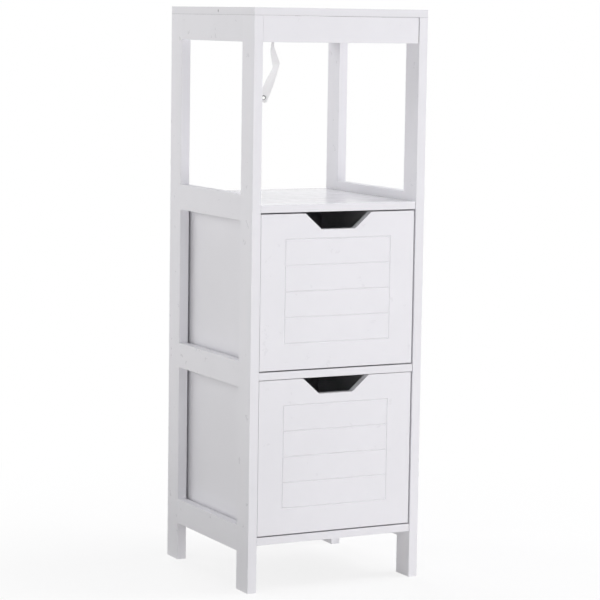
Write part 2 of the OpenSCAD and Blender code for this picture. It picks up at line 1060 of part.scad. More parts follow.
top_panel();
front_left_post();
front_right_post();
back_left_post();
back_right_post();
left_bottom_rail();
left_middle_rail();
left_upper_rail();
left_top_rail();
right_bottom_rail();
right_middle_rail();
right_upper_rail();
right_top_rail();
front_apron();
back_apron();
shelf_board();
divider_board();
bottom_board();
bottom_batten();
upper_back_panel();
lower_back_panel();
upper_drawer_front();
upper_drawer_left_side();
upper_drawer_right_side();
upper_drawer_back();
upper_drawer_bottom();
upper_drawer_cam_locks();
upper_drawer_cam_bolts();
upper_drawer_screws();
lower_drawer_front();
lower_drawer_left_side();
lower_drawer_right_side();
lower_drawer_back();
lower_drawer_bottom();
lower_drawer_cam_locks();
lower_drawer_cam_bolts();
lower_drawer_screws();
rail_dowels();
board_dowels();
apron_dowels();
top_dowels();
board_cam_locks();
board_cam_bolts();
apron_cam_locks();
apron_cam_bolts();
batten_screws();
safety_strap();
strap_eyelets();
strap_screw();
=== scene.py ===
"""Looks of a slim bathroom storage tower: satin lacquer on its boards, a woven strap,
turned metal fittings, and a plain studio round it. Laid out as an add-on and run as a
script. Metres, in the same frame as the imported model."""

import json
import math
from itertools import product

import bmesh
import bpy
from bpy.props import FloatProperty, FloatVectorProperty, IntProperty, PointerProperty
from mathutils import Matrix, Vector


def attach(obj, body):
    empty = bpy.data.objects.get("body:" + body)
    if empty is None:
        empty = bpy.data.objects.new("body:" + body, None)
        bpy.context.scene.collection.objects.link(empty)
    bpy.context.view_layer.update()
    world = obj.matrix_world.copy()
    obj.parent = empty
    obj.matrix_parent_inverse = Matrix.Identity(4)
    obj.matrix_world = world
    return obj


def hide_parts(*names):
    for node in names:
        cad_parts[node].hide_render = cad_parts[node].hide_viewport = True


bl_info = {
    "name": "Storage Tower Looks",
    "version": (1, 0, 0),
    "blender": (4, 5, 0),
    "location": "View3D > Sidebar > Storage Tower",
    "description": "Finishes, fittings and studio for a bathroom storage tower",
    "category": "Object",
}

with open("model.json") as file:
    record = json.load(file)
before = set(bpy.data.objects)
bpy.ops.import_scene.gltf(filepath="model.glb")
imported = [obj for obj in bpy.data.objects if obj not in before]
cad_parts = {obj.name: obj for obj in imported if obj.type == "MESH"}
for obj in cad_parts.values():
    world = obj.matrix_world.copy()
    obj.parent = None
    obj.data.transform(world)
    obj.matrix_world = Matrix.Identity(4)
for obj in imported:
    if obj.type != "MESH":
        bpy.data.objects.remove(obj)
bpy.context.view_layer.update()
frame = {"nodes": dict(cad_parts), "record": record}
NODES = frame["nodes"]
# The material slot of every node
SLOTS = {part["node"]: part["material_slot"] for part in frame["record"]["subparts"]}
MM = 0.001
# Turns a width in metres into half of it in millimetres
HALF_IN_MM = 500.0

RIGHT, BACK, UP = (1, 0, 0), (0, 1, 0), (0, 0, 1)
FRONT, DOWN = (0, -1, 0), (0, 0, -1)
SIDES = (-1, 1)
DRAWERS = ("upper_drawer", "lower_drawer")
LEVEL_BOARDS = ("top_panel", "shelf_board", "divider_board", "bottom_board")
RAIL_LEVELS = ("bottom", "middle", "upper", "top")

# Heights in millimetres: middles of the three boards and of the aprons, the face under
# the top, and the cam locks that hold the top
LEVELS = (80, 336, 592)
APRON_LEVEL = 863
TOP_FACE = 883
TOP_LOCK_LEVEL = 859
# Distances from the tower's middle: inner faces of the side frames and aprons, middle
# of their thickness, cam locks of the boards and aprons, joints of the top
FRAME_FACE = 135
FRAME_MIDDLE = 142.5
LOCK_REACH = 111
TOP_JOINT = 75
# Side, distance back and level of each cam joint of a board, and half its thickness
BOARD_JOINTS = tuple(product(SIDES, (-130, 130), LEVELS))
HALF_BOARD = 6
# For each kind of dowel: length in metres, way, distances aside and back, and levels
RAIL_DOWEL_LEVELS = (70, 90, 326, 346, 582, 602, 853, 873)
DOWELS = {
    "rail_dowels": (0.03, BACK, FRAME_MIDDLE, 110, RAIL_DOWEL_LEVELS),
    "board_dowels": (0.024, RIGHT, 132, 40, LEVELS),
    "apron_dowels": (0.024, RIGHT, 132, FRAME_MIDDLE, (851, 875)),
    "top_dowels": (0.024, UP, FRAME_MIDDLE, 60, (880,)),
}
# Sizes of the wood screws, in metres
SCREW_SIZES = ("Width", "Head Width", "Head Height", "Length", "Plain Length", "Pitch")
DRAWER_SCREW = dict(zip(SCREW_SIZES, (0.004, 0.0076, 0.0018, 0.034, 0.008, 0.0018)))
BATTEN_SCREW = dict(zip(SCREW_SIZES, (0.003, 0.0054, 0.0012, 0.016, 0.002, 0.0013)))
STRAP_SCREW = dict(zip(SCREW_SIZES, (0.0035, 0.008, 0.0024, 0.0164, 0.0025, 0.0015)))
# For each drawer: heights of its cam bolts and of the screws in its back
DRAWER_JOINTS = {
    "lower_drawer": ((131.3, 281.7), (126.3, 286.7)),
    "upper_drawer": ((387.3, 536.3), (382.3, 541.3)),
}
# For each drawer side: its outer and inner face, in millimetres along X
DRAWER_SIDES = ((-130.2, -118.2), (127.6, 115.6))
# Along Y: the drawers' cam locks, the inner face of their fronts, the middle of their
# backs; and the height of the batten's lower face
DRAWER_LOCK = -114
DRAWER_FRONT = -138
DRAWER_BACK = 134.5
BATTEN_FACE = 66

# Middle of the pin hole in the top panel's left edge, in metres
PIN_PLACE = (-0.15, -0.0235, 0.889)

# The strap, in millimetres: where it hangs, the top of its screw, and its bends as
# offsets from where it hangs, each with the turn and tilt in degrees of the way across
STRAP_ANCHOR = Vector((26, 133.9, 866))
STRAP_SCREW_TOP = STRAP_ANCHOR + Vector((0, -3.5, 0))
STRAP_BENDS = (
    ((0, 0, 0), 0, 0),
    ((0, 0, -5), 0, 0),
    ((0, -0.3, -7.5), 1, 0),
    ((-3, -4, -18), 25, 0),
    ((-6.5, -8, -28), 50, 0),
    ((-5.5, -6.4, -39), 36, 5),
    ((0.3, -8.8, -63.6), 10, 20),
)
# From its fold to its lower eyelet, which way its lower end faces, and the length over
# which it comes to face that way
STRAP_DROP = Vector((-22.8, -0.5, -52.8))
STRAP_FACE = math.radians(27.5)
STRAP_SETTLE = 46
# Its rounded end: how far past the eyelet, and how much narrower on each side
STRAP_END = ((0, 0), (5, 0), (6.2, 1.1), (7.2, 2.0), (7.5, 2.5))

# The studio's soft lights: share of the power, how cool, place, aim and size
SOFT_LIGHTS = (
    ("left_front", 0.75, 0.0, (-2.4, -2.0, 0.7), (0, 0, 0.6), (1.6, 1.2)),
    ("left_level", 0.045, 0.0, (-1.4, 0.0, 0.9), (0, 0, 0.8), (1.0, 0.8)),
    ("left_back_high", 0.49, 0.4, (-1.8, 1.4, 1.8), (0, 0, 0.6), (1.2, 1.2)),
    ("left_back_level", 0.3, 0.4, (-2.2, 1.6, 0.9), (0, 0, 0.6), (1.4, 1.4)),
    ("overhead", 0.53, 1.0, (0, -0.4, 2.8), (0, 0, 0.6), (1.6, 1.6)),
    ("back_high", 1.01, 0.5, (0.2, 2.6, 1.8), (0, 0, 0.6), (1.6, 1.6)),
    ("right_high", 1.44, 1.0, (2.2, -0.6, 2.3), (0, 0, 0.7), (1.6, 1.6)),
    ("right_back", 0.16, 1.0, (2.0, 2.0, 1.6), (0, 0, 0.6), (1.6, 1.6)),
    ("right_front", 0.57, 1.0, (2.4, -2.0, 1.3), (0, 0, 0.6), (1.8, 1.8)),
    ("front_low", 0.73, 0.8, (0.4, -2.6, 0.35), (0, 0, 0.35), (2.4, 0.5)),
)

WHITE = (1.0, 1.0, 1.0, 1.0)
THIN_PAINT = (0.66, 0.64, 0.61, 1.0)
# Painted shade for the pin hole in the top panel and the line under it
GAP_SHADE = (0.3, 0.29, 0.31, 1.0)
# Painted shade in the bore of an eyelet
LIP_SHADE = (0.2, 0.2, 0.2, 1.0)


# ------------------------------------------------------------------------ settings


def colour_of(name, description, default):
    return FloatVectorProperty(
        name=name,
        description=description,
        default=default,
        subtype="COLOR",
        size=3,
        min=0.0,
        max=1.0,
    )


def length_of(name, description, default, least, most):
    return FloatProperty(
        name=name,
        description=description,
        default=default,
        unit="LENGTH",
        min=least,
        max=most,
        precision=6,
    )


def share_of(name, description, default, most=1.0):
    return FloatProperty(
        name=name,
        description=description,
        default=default,
        subtype="FACTOR",
        min=0.0,
        max=most,
    )


def angle_of(name, description, degrees):
    return FloatProperty(
        name=name,
        description=description,
        default=math.radians(degrees),
        subtype="ANGLE",
    )


class PaintSettings(bpy.types.PropertyGroup):
    colour: colour_of(
        "Lacquer Colour", "Colour of the satin white lacquer", (0.884, 0.88, 0.911)
    )
    roughness: share_of("Roughness", "Mean roughness of the satin lacquer", 0.3)
    tone_change: share_of(
        "Tone Change", "How far the tone drifts over a board", 0.02, 0.2
    )
    peel_size: length_of(
        "Peel Size", "Distance between the waves of spraying", 0.0024, 0.0005, 0.01
    )
    peel_height: length_of(
        "Peel Height", "Height of the waves that spraying leaves", 0.000012, 0.0, 0.0002
    )
    eased_edge: length_of(
        "Eased Edge", "Radius of the paint on a cut edge", 0.0005, 0.0001, 0.002
    )
    edge_wear: share_of(
        "Edge Wear", "How much the thin paint on the edges darkens", 0.05
    )


class StageSettings(bpy.types.PropertyGroup):
    camera_place: FloatVectorProperty(
        name="Camera Place",
        description="Where the camera stands",
        subtype="TRANSLATION",
        size=3,
        default=(-1.75259, -3.40067, 0.88340),
    )
    camera_azimuth: angle_of(
        "Camera Azimuth", "Turn of the view to the right of straight ahead", 27.4149
    )
    camera_drop: angle_of(
        "Camera Drop", "How far the view points below the horizon", 6.7289
    )
    camera_roll: angle_of("Camera Roll", "Turn of the picture about the view", 0.8528)
    lens: FloatProperty(
        name="Lens",
        description="Focal length on a sensor that is 36 mm wide",
        unit="CAMERA",
        default=144.632,
    )
    floor_radius: length_of("Floor Radius", "Radius of the round floor", 9.0, 1.0, 50.0)
    light_strength: FloatProperty(
        name="Light Strength",
        description="Power that the shares of the soft lights multiply",
        unit="POWER",
        min=0.0,
        default=29.2,
    )
    room_strength: FloatProperty(
        name="Room Strength",
        description="Strength of the even light from all round",
        min=0.0,
        default=0.04,
    )


class FittingSettings(bpy.types.PropertyGroup):
    zinc_colour: colour_of(
        "Zinc Colour", "Colour of the cast zinc locks", (0.56, 0.56, 0.545)
    )
    steel_colour: colour_of(
        "Steel Colour", "Colour of the plated bolts and screws", (0.66, 0.655, 0.63)
    )
    eyelet_colour: colour_of(
        "Eyelet Colour", "Colour of the rolled eyelets", (0.86, 0.86, 0.87)
    )
    beech_colour: colour_of(
        "Beech Colour", "Colour of the bare dowels", (0.6, 0.42, 0.25)
    )
    lock_width: length_of(
        "Lock Width", "Outer width of a cam lock", 0.015, 0.01, 0.02
    )
    thread_width: length_of(
        "Thread Width", "Outer width of a cam bolt's thread", 0.006, 0.004, 0.008
    )
    thread_pitch: length_of(
        "Thread Pitch", "Rise of a bolt's thread in one turn", 0.0019, 0.0008, 0.004
    )
    dowel_width: length_of("Dowel Width", "Outer width of a dowel", 0.006, 0.004, 0.01)
    flute_count: IntProperty(
        name="Flute Count",
        description="Number of grooves pressed along a dowel",
        min=0,
        max=24,
        default=14,
    )
    flute_depth: share_of(
        "Flute Depth", "Depth of a groove as a share of the dowel's radius", 0.07, 0.3
    )
    seed: IntProperty(
        name="Seed",
        description="Chooses how the screws, bolts and dowels happen to be turned",
        min=0,
        default=4,
    )


class StrapSettings(bpy.types.PropertyGroup):
    colour: colour_of(
        "Strap Colour", "Colour of the woven strap", (0.965, 0.963, 0.97)
    )
    width: length_of("Width", "Width of the strap", 0.015, 0.01, 0.025)
    thickness: length_of(
        "Thickness", "Thickness of the webbing", 0.0012, 0.0005, 0.002
    )
    hole: length_of("Hole", "Width of the eyelets' holes", 0.0061, 0.004, 0.008)
    warp_width: length_of(
        "Warp Width", "Width of one rib along the strap", 0.00075, 0.0003, 0.003
    )
    weft_width: length_of(
        "Weft Width", "Width of one thread across the strap", 0.00095, 0.0003, 0.003
    )
    weave_height: length_of(
        "Weave Height", "How far the ribs stand above the gaps", 0.00009, 0.0, 0.001
    )


class TowerSettings(bpy.types.PropertyGroup):
    paint: PointerProperty(type=PaintSettings)
    fittings: PointerProperty(type=FittingSettings)
    strap: PointerProperty(type=StrapSettings)
    stage: PointerProperty(type=StageSettings)


# ----------------------------------------------------------------- node tree helpers


class Wire:
    """A node's output. Sums and products of wires add maths nodes to its tree."""

    def __init__(self, tree, socket):
        self.tree, self.socket = tree, socket

    def __add__(self, other):
        return self.tree.maths("ADD", self, other)

    def __sub__(self, other):
        return self.tree.maths("SUBTRACT", self, other)

    def __rsub__(self, other):
        return self.tree.maths("SUBTRACT", other, self)

    def __mul__(self, other):
        return self.tree.maths("MULTIPLY", self, other)

    def __truediv__(self, other):
        return self.tree.maths("DIVIDE", self, other)

    def __abs__(self):
        return self.tree.maths("ABSOLUTE", self)

    def __neg__(self):
        return self * -1.0

    __radd__, __rmul__ = __add__, __mul__


class Tree:
    """A short way to fill a node tree."""

    def __init__(self, tree):
        self.tree = tree
        tree.nodes.clear()

    def node(self, kind, values=None, **settings):
        """Adds a node. Values are by input name or number; a wire is linked."""
        node = self.tree.nodes.new(kind)
        row, column = divmod(len(self.tree.nodes), 9)
        node.location = (240 * column, -260 * row)
        for name, value in settings.items():
            setattr(node, name, value)
        for name, value in (values or {}).items():
            self.feed(node.inputs[name], value)
        return node

    def feed(self, socket, value):
        """Links a wire to a socket, or sets a plain value on it."""
        if isinstance(value, Wire):
            self.tree.links.new(value.socket, socket)
        else:
            socket.default_value = value

    def add(self, kind, values=None, take=0, **settings):
        """Adds a node and takes one of its outputs."""
        return Wire(self, self.node(kind, values, **settings).outputs[take])

    def outputs(self, kind, values=None, **settings):
        """Adds a node and takes all its outputs, by name."""
        sockets = self.node(kind, values, **settings).outputs
        return {socket.name: Wire(self, socket) for socket in sockets}

    def pick(self, number, values):
        """The value that stands at this number in a list."""
        node = self.node("GeometryNodeIndexSwitch", data_type="FLOAT")
        while len(node.index_switch_items) < len(values):
            node.index_switch_items.new()
        for socket, value in zip(node.inputs, (number, *values)):
            self.feed(socket, value)
        return Wire(self, node.outputs[0])

    def join(self, *meshes):
        node = self.node("GeometryNodeJoinGeometry")
        for mesh in meshes:
            self.feed(node.inputs[0], mesh)
        return Wire(self, node.outputs[0])

    def cut(self, mesh, *tools):
        """Takes the tools' shapes away from a mesh."""
        node = self.node(
            "GeometryNodeMeshBoolean",
            {"Mesh 1": mesh},
            operation="DIFFERENCE",
            solver="EXACT",
        )
        for tool in tools:
            self.feed(node.inputs["Mesh 2"], tool)
        return Wire(self, node.outputs["Mesh"])

    def moved(self, mesh, by=(0, 0, 0), turn=(0, 0, 0)):
        values = {"Geometry": mesh, "Translation": by, "Rotation": turn}
        return self.add("GeometryNodeTransform", values)

    def placed(self, mesh, place):
        values = {"Geometry": mesh, "Position": place}
        return self.add("GeometryNodeSetPosition", values)

    def maths(self, operation, *values):
        return self.add("ShaderNodeMath", dict(enumerate(values)), operation=operation)

    def vectors(self, operation, *values):
        take = "Value" if operation in ("DOT_PRODUCT", "LENGTH") else "Vector"
        values = dict(enumerate(values))
        return self.add("ShaderNodeVectorMath", values, take, operation=operation)

    def scaled(self, vector, by):
        values = {0: vector, "Scale": by}
        return self.add("ShaderNodeVectorMath", values, "Vector", operation="SCALE")

    def parts(self, vector):
        """The three numbers of a vector."""
        return list(self.outputs("ShaderNodeSeparateXYZ", {0: vector}).values())

    def point(self, x, y, z):
        return self.add("ShaderNodeCombineXYZ", {0: x, 1: y, 2: z})

    def ramp(self, value, low, high, to_low=0.0, to_high=1.0, smooth=False):
        values = {
            "Value": value,
            "From Min": low,
            "From Max": high,
            "To Min": to_low,
            "To Max": to_high,
        }
        way = "SMOOTHSTEP" if smooth else "LINEAR"
        return self.add("ShaderNodeMapRange", values, interpolation_type=way)

    def noise(self, vector, scale=1.0, detail=2.0, roughness=0.5):
        values = {
            "Vector": vector,
            "Scale": scale,
            "Detail": detail,
            "Roughness": roughness,
        }
        return self.add("ShaderNodeTexNoise", values, "Fac")

    def mix(self, factor, a, b):
        values = {0: factor, 6: a, 7: b}
        return self.add("ShaderNodeMix", values, 2, data_type="RGBA")

    def mix_shaders(self, factor, a, b):
        return self.add("ShaderNodeMixShader", {0: factor, 1: a, 2: b})

    def bump(self, height, **normal):
        """A normal bent by a height in metres."""
        values = {"Height": height, "Strength": 1.0, "Distance": 1.0, **normal}
        return self.add("ShaderNodeBump", values, "Normal")

    def rounded(self, radius, samples):
        """The normal of the surface as if its edges had this radius."""
        return self.add("ShaderNodeBevel", {"Radius": radius}, samples=samples)

    def off_face(self, rounded, full):
        """0 where the rounded normal is the surface's own, 1 where it is full apart."""
        own = self.add("ShaderNodeNewGeometry", take="Normal")
        return self.ramp(self.vectors("DOT_PRODUCT", own, rounded), 0.995, full)


def group_tree(name, kind, inputs, outputs):
    """A new node group with its sockets, its filler and its inputs by name. Sockets are
    given as name, kind and default."""
    tree = bpy.data.node_groups.new(name, kind)
    for in_out, sockets in (("INPUT", inputs), ("OUTPUT", outputs)):
        for socket_name, socket_kind, default in sockets:
            socket = tree.interface.new_socket(
                name=socket_name,
                in_out=in_out,
                socket_type=f"NodeSocket{socket_kind}",
            )
            if default is not None:
                socket.default_value = default
    filler = Tree(tree)
    return tree, filler, filler.outputs("NodeGroupInput")


def new_material(name):
    material = bpy.data.materials.new(name)
    material.use_nodes = True
    return material, Tree(material.node_tree)


def finish_material(t, colour, roughness, normal, **constants):
    """The shader and the output. Constants are set on the shader's own sockets."""
    values = {"Base Color": colour, "Roughness": roughness, "Normal": normal}
    values.update({name.replace("_", " "): v for name, v in constants.items()})
    shader = t.add("ShaderNodeBsdfPrincipled", values)
    t.node("ShaderNodeOutputMaterial", {"Surface": shader})


def tint(colour, share):
    """A colour with four values, made darker or lighter."""
    return (*(min(1.0, value * share) for value in colour), 1.0)


# --------------------------------------------------------------------------- finishes


def lacquer_group(paint):
    """Sprayed lacquer on fibreboard: low waves, a drifting tone, thinner paint on
    the edges, and a coarser, streaky film where the board was cut."""
    tree, t, given = group_tree(
        "Sprayed Lacquer",
        "ShaderNodeTree",
        (
            ("Vector", "Vector", None),
            ("Colour", "Color", (0.8, 0.8, 0.8, 1.0)),
            ("Roughness", "Float", 0.4),
            ("Thin Axis", "Vector", (0.0, 0.0, 1.0)),
            ("Peel Height", "Float", 0.00001),
            ("Screen Height", "Float", 0.0),
            ("Place", "Vector", None),
            ("Pin Place", "Vector", (0.0, 0.0, -1.0)),
            ("Joint Height", "Float", -1.0),
        ),
        (
            ("Colour", "Color", None),
            ("Roughness", "Float", None),
            ("Normal", "Vector", None),
        ),
    )
    place, thin = given["Vector"], given["Thin Axis"]

    # 1 on the cut edges of the board, 0 on its two faces
    object_normal = t.add("ShaderNodeTexCoord", take="Normal")
    across = abs(t.vectors("DOT_PRODUCT", object_normal, thin))
    cut = t.ramp(across, 0.3, 0.9, 1.0, 0.0)

    broad = t.noise(place, 7.0, 3.0)
    cloudy = t.noise(place, 55.0, 4.0, 0.6)
    peel = t.noise(place, 1.0 / paint.peel_size, 1.5)
    fine = t.noise(place, 5.0 / paint.peel_size)
    # Streaks lie along the cut edges: their scale is higher through the thickness
    scale = t.vectors("MULTIPLY_ADD", thin, (2600, 2600, 2600), (160, 160, 160))
    streaks = t.noise(t.vectors("MULTIPLY", place, scale), 1.0, 3.0, 0.6)
    rough_cut = cut * streaks

    # Edge: where the rounded normal leaves the face's own, broken up by noise
    edge = t.off_face(t.rounded(1.6 * paint.eased_edge, 6), 0.88)
    edge = edge * t.ramp(cloudy, 0.3, 0.65, 0.35, 1.0)

    # Colour: drift, faint clouding, a darker film on the cuts, a warmer one on edges
    drift = t.ramp(broad, 0.3, 0.7, 1.0 - paint.tone_change, 1.0)
    drift = drift * t.ramp(cloudy, 0.3, 0.7, 0.992, 1.0)
    drift = drift * t.ramp(rough_cut, 0.3, 0.8, 1.0, 0.985)
    drifted = t.scaled(given["Colour"], drift)
    shade = t.mix(edge * paint.edge_wear, drifted, THIN_PAINT)

    # Painted shade in the pin hole, and a painted shaded line where a board lies on the
    # next
    from_pin = t.vectors("SUBTRACT", given["Place"], given["Pin Place"])
    pin = t.ramp(t.vectors("LENGTH", from_pin), 0.0014, 0.0026, 0.6, 0.0, True)
    from_joint = abs(t.parts(given["Place"])[2] - given["Joint Height"])
    line = t.ramp(from_joint, 0.0003, 0.0009, 0.32, 0.0, True)
    shade = t.mix(t.maths("MAXIMUM", pin, line), shade, GAP_SHADE)

    # Roughness: cloudy, and duller on the cut edges
    rough = given["Roughness"] + t.ramp(cloudy, 0.25, 0.75, -0.04, 0.05)
    rough = rough + cut * 0.15 + edge * 0.1

    # Height in metres; the screen is the wire cloth that hardboard is pressed on
    height = (fine * 0.12 + peel) * given["Peel Height"] + rough_cut * 0.000006
    wave_x, wave_y, wave_z = t.parts(t.vectors("SINE", t.scaled(place, 3300.0)))
    height = height + (wave_x + wave_y) * wave_z * given["Screen Height"]
    normal = t.bump(height, Normal=t.rounded(paint.eased_edge, 6))
    t.node("NodeGroupOutput", {"Colour": shade, "Roughness": rough, "Normal": normal})
    return tree


def lacquer_material(name, group, paint, thin_axis, shift, tone, film):
    """Satin lacquer for one board, with its own stretch of the pattern. The film is
    how much duller it is, its share of the waves, and the height of a screen."""
    duller, waves, screen = film
    material, t = new_material(name)
    place = t.add("ShaderNodeTexCoord", take="Object")
    values = {
        "Vector": t.add("ShaderNodeMapping", {"Vector": place, "Location": shift}),
        "Colour": tint(paint.colour, tone),
        "Roughness": paint.roughness + duller,
        "Thin Axis": thin_axis,
        "Peel Height": waves * paint.peel_height,
        "Screen Height": screen,
        "Place": place,
    }
    if name.endswith("top_panel"):
        values.update({"Pin Place": PIN_PLACE, "Joint Height": TOP_FACE * MM})
    made = t.outputs("ShaderNodeGroup", values, node_tree=group)
    finish_material(t, made["Colour"], made["Roughness"], made["Normal"], IOR=1.46)
    return material


def own_place(t):
    """Where a point lies on its own fitting, the same moved so that no two fittings
    match, and the fitting's chance value."""
    local = t.add("ShaderNodeAttribute", take="Vector", attribute_name="local")
    chance = t.add("ShaderNodeAttribute", take="Fac", attribute_name="chance")
    return local, t.vectors("ADD", local, t.scaled((0.31, 0.17, 0.23), chance)), chance


def metal_material(
    name, colour, roughness, cloud_size, turned_marks, pit_height, shaded_lip=0.0
):
    """Plated or cast metal: a cloudy film, fine pits, marks of turning, and edges
    that are rubbed bright. A shaded lip is darkened with painted shade, standing in
    for the shadow in the hole, and made rougher out to that radius in metres."""
    material, t = new_material(name)
    local, place, chance = own_place(t)
    cloudy = t.noise(place, 1.0 / cloud_size, 4.0, 0.6)
    pits = t.noise(place, 9.0 / cloud_size)
    x, y, z = t.parts(local)
    across = t.maths("SQRT", x * x + y * y)
    rings = t.noise(t.point(across * 9000.0, z * 9000.0, chance))
    edge = t.off_face(t.rounded(0.0002, 4), 0.85) * t.ramp(pits, 0.35, 0.6, 0.3, 1.0)
    shade = t.mix(t.ramp(cloudy, 0.3, 0.7), tint(colour, 0.84), tint(colour, 1.06))
    shade = t.mix(edge * 0.6, shade, tint(colour, 1.25))
    rough = t.ramp(cloudy, 0.3, 0.7, roughness + 0.07, roughness - 0.05) + edge * -0.1
    # Painted shade: the eyelet darkens towards its hole, for the shadow in its bore
    if shaded_lip:
        lip = t.ramp(across, shaded_lip, shaded_lip + 0.0004, 1.0, 0.0, True)
        shade = t.mix(lip * 0.85, shade, LIP_SHADE)
        rough = rough + lip * 0.15
    normal = t.bump(pits * pit_height + rings * turned_marks)
    finish_material(t, shade, rough, normal, Metallic=1.0)
    return material


def beech_material(colour):
    """Bare beech: growth bands, short dark flecks and open pores along the dowel."""
    material, t = new_material("bare_beech")
    _, place, _ = own_place(t)
    bands = t.noise(t.vectors("MULTIPLY", place, (900, 260, 30)), 1.0, 3.0, 0.55)
    flecks = t.noise(t.vectors("MULTIPLY", place, (3200, 3200, 420)))
    pores = t.noise(t.vectors("MULTIPLY", place, (9000, 9000, 700)), 1.0, 1.0)
    shade = t.mix(t.ramp(bands, 0.3, 0.7), tint(colour, 0.86), tint(colour, 1.1))
    shade = t.mix(t.ramp(flecks, 0.62, 0.72, 0.0, 0.55), shade, tint(colour, 0.55))
    rough = t.ramp(pores, 0.3, 0.7, 0.72, 0.58)
    finish_material(t, shade, rough, t.bump(pores * 0.00002 + bands * 0.00001))
    return material


def webbing_material(strap, length):
    """Plain-woven webbing: ribs along the strap, threads across it that pass over and
    under them, stray fibres, greyed edges, and ends that were sealed by heat."""
    material, t = new_material("white_webbing")
    place = t.add("ShaderNodeUVMap", uv_map="weave")
    across, along, _ = t.parts(place)
    warp = across / strap.warp_width
    weft = t.noise(t.scaled(place, 180.0)) * 0.35 + along / strap.weft_width

    # 0 where a rib lies on top, 1 where a thread does
    columns = t.maths("FLOOR", warp) + t.maths("FLOOR", weft)
    over = t.maths("FRACT", columns * 0.5) * 2.0
    rib = t.maths("SINE", t.maths("FRACT", warp) * math.pi)
    thread = t.maths("SINE", t.maths("FRACT", weft) * math.pi)
    above = t.maths("POWER", rib, 0.6) * ((over - 0.5) * thread * 0.8 + 0.6)
    below = t.maths("POWER", thread, 0.6) * ((0.5 - over) * rib * 0.5 + 0.45)
    weave = t.maths("MAXIMUM", above, below)

    fibres = t.noise(t.vectors("MULTIPLY", place, (14000, 2600, 1)), 1.0, 3.0, 0.6)
    stain = t.noise(t.scaled(place, 70.0), 1.0, 3.0)
    from_end = t.maths("MINIMUM", along, length - along)
    sealed = t.ramp(from_end, 0.0004, 0.0014, 1.0, 0.0, True)
    edge = t.ramp(abs(across), 0.42 * strap.width, 0.5 * strap.width)
    # Painted shade in the gaps between the threads, and a painted lighter tone on the
    # ridges that stand up
    weave_gap_shade, ridge = tint(strap.colour, 0.92), tint(strap.colour, 1.02)
    shade = t.mix(t.ramp(weave, 0.25, 0.9), weave_gap_shade, ridge)
    for share, to in (
        (t.ramp(fibres, 0.35, 0.7, 0.0, 0.1), tint(strap.colour, 0.88)),
        (t.ramp(stain, 0.4, 0.75, 0.0, 0.06), (0.7, 0.67, 0.62, 1.0)),
        (edge * 0.22, (0.68, 0.67, 0.66, 1.0)),
        (sealed * 0.5, (0.62, 0.6, 0.55, 1.0)),
    ):
        shade = t.mix(share, shade, to)
    height = weave * (1.0 - sealed) + fibres * 0.12
    finish_material(
        t,
        shade,
        t.ramp(weave, 0.2, 1.0, 0.92, 0.7) + sealed * -0.3,
        t.bump(height * strap.weave_height),
        Sheen_Weight=0.25,
        Subsurface_Weight=1.0,
        Subsurface_Radius=(1.0, 1.0, 1.0),
        Subsurface_Scale=0.005,
    )
    return material


def use(node_name, material):
    """Puts one material on a carried-over node."""
    slots = NODES[node_name].material_slots
    if not slots:
        raise RuntimeError(f"{node_name} has no material slot to fill")
    for slot in slots:
        slot.material = material


# ----------------------------------------------------------------- shapes of fittings
# Each tree makes one fitting about its own Z, stands a copy on every seat, and gives
# each copy a chance value for its finish.


def shape_tree(name, sizes):
    """A tree with the inputs that all fittings share and sizes of its own."""
    inputs = (
        ("Seats", "Geometry", None),
        ("Material", "Material", None),
        ("Roll", "Float", 0.0),
        ("Seed", "Int", 0),
        *((size, "Float", default) for size, default in sizes.items()),
    )
    return group_tree(name, "GeometryNodeTree", inputs, (("Mesh", "Geometry", None),))


def turning(t, rows, sides):
    """A grid to be turned about Z, with each point's row and its share of the turn."""
    count = sides + 1
    values = {"Size X": 1.0, "Size Y": 1.0, "Vertices X": rows, "Vertices Y": count}
    grid = t.add("GeometryNodeMeshGrid", values)
    # A quarter keeps the row's floor clear of rounding
    place = t.add("GeometryNodeInputIndex") + 0.25
    row = t.maths("FLOOR", place / float(count))
    share = t.maths("FLOOR", place - row * float(count)) / float(sides)
    return grid, row, share


def turned(t, mesh, share, radius, height):
    """Bends a grid round Z. Its first row is at the top, so that it faces outwards."""
    angle = share * math.tau
    x = radius * t.maths("COSINE", angle)
    y = radius * t.maths("SINE", angle)
    bent = t.placed(mesh, t.point(x, y, height))
    values = {"Geometry": bent, "Distance": 3e-6}
    return t.add("GeometryNodeMergeByDistance", values)


def turned_profile(t, profile, sides, flutes=None):
    """A turned shape from rows of (radius, height), top first. Flutes are a count and
    a depth as a share of the radius."""
    mesh, row, share = turning(t, len(profile), sides)
    radius = t.pick(row, [radius for radius, _ in profile])
    height = t.pick(row, [height for _, height in profile])
    if flutes:
        count, depth = flutes
        wave = t.maths("COSINE", share * math.tau * count)
        groove = t.maths("POWER", wave * 0.5 + 0.5, 2.0)
        radius = radius * (1.0 - groove * depth)
    return turned(t, mesh, share, radius, height)


def threaded(t, top, low, root, crest, pitch, tip, point):
    """A right-hand thread about Z, closed at both ends. It runs out over a turn at each
    end, and narrows to the point's share of its width over the length of its tip."""
    sides, rows_a_turn = 14, 7.0
    length = top - low
    count = t.maths("CEIL", length / pitch * rows_a_turn) + 3.0
    mesh, row, share = turning(t, count, sides)
    last = count - 1.0
    height = top - t.ramp(row, 1.0, last - 1.0) * length
    wave = t.maths("FRACT", height / pitch - share)
    ridge = t.ramp(abs(wave - 0.5), 0.04, 0.3, 1.0, 0.0)
    from_low = height - low
    full = t.ramp(t.maths("MINIMUM", from_low, top - height), 0.0, pitch)
    radius = root + (crest - root) * (ridge * full)
    radius = radius * t.ramp(from_low, 0.0, tip, point, 1.0)
    inside = t.maths("GREATER_THAN", t.maths("MINIMUM", row, last - row), 0.5)
    return turned(t, mesh, share, radius * inside, height)


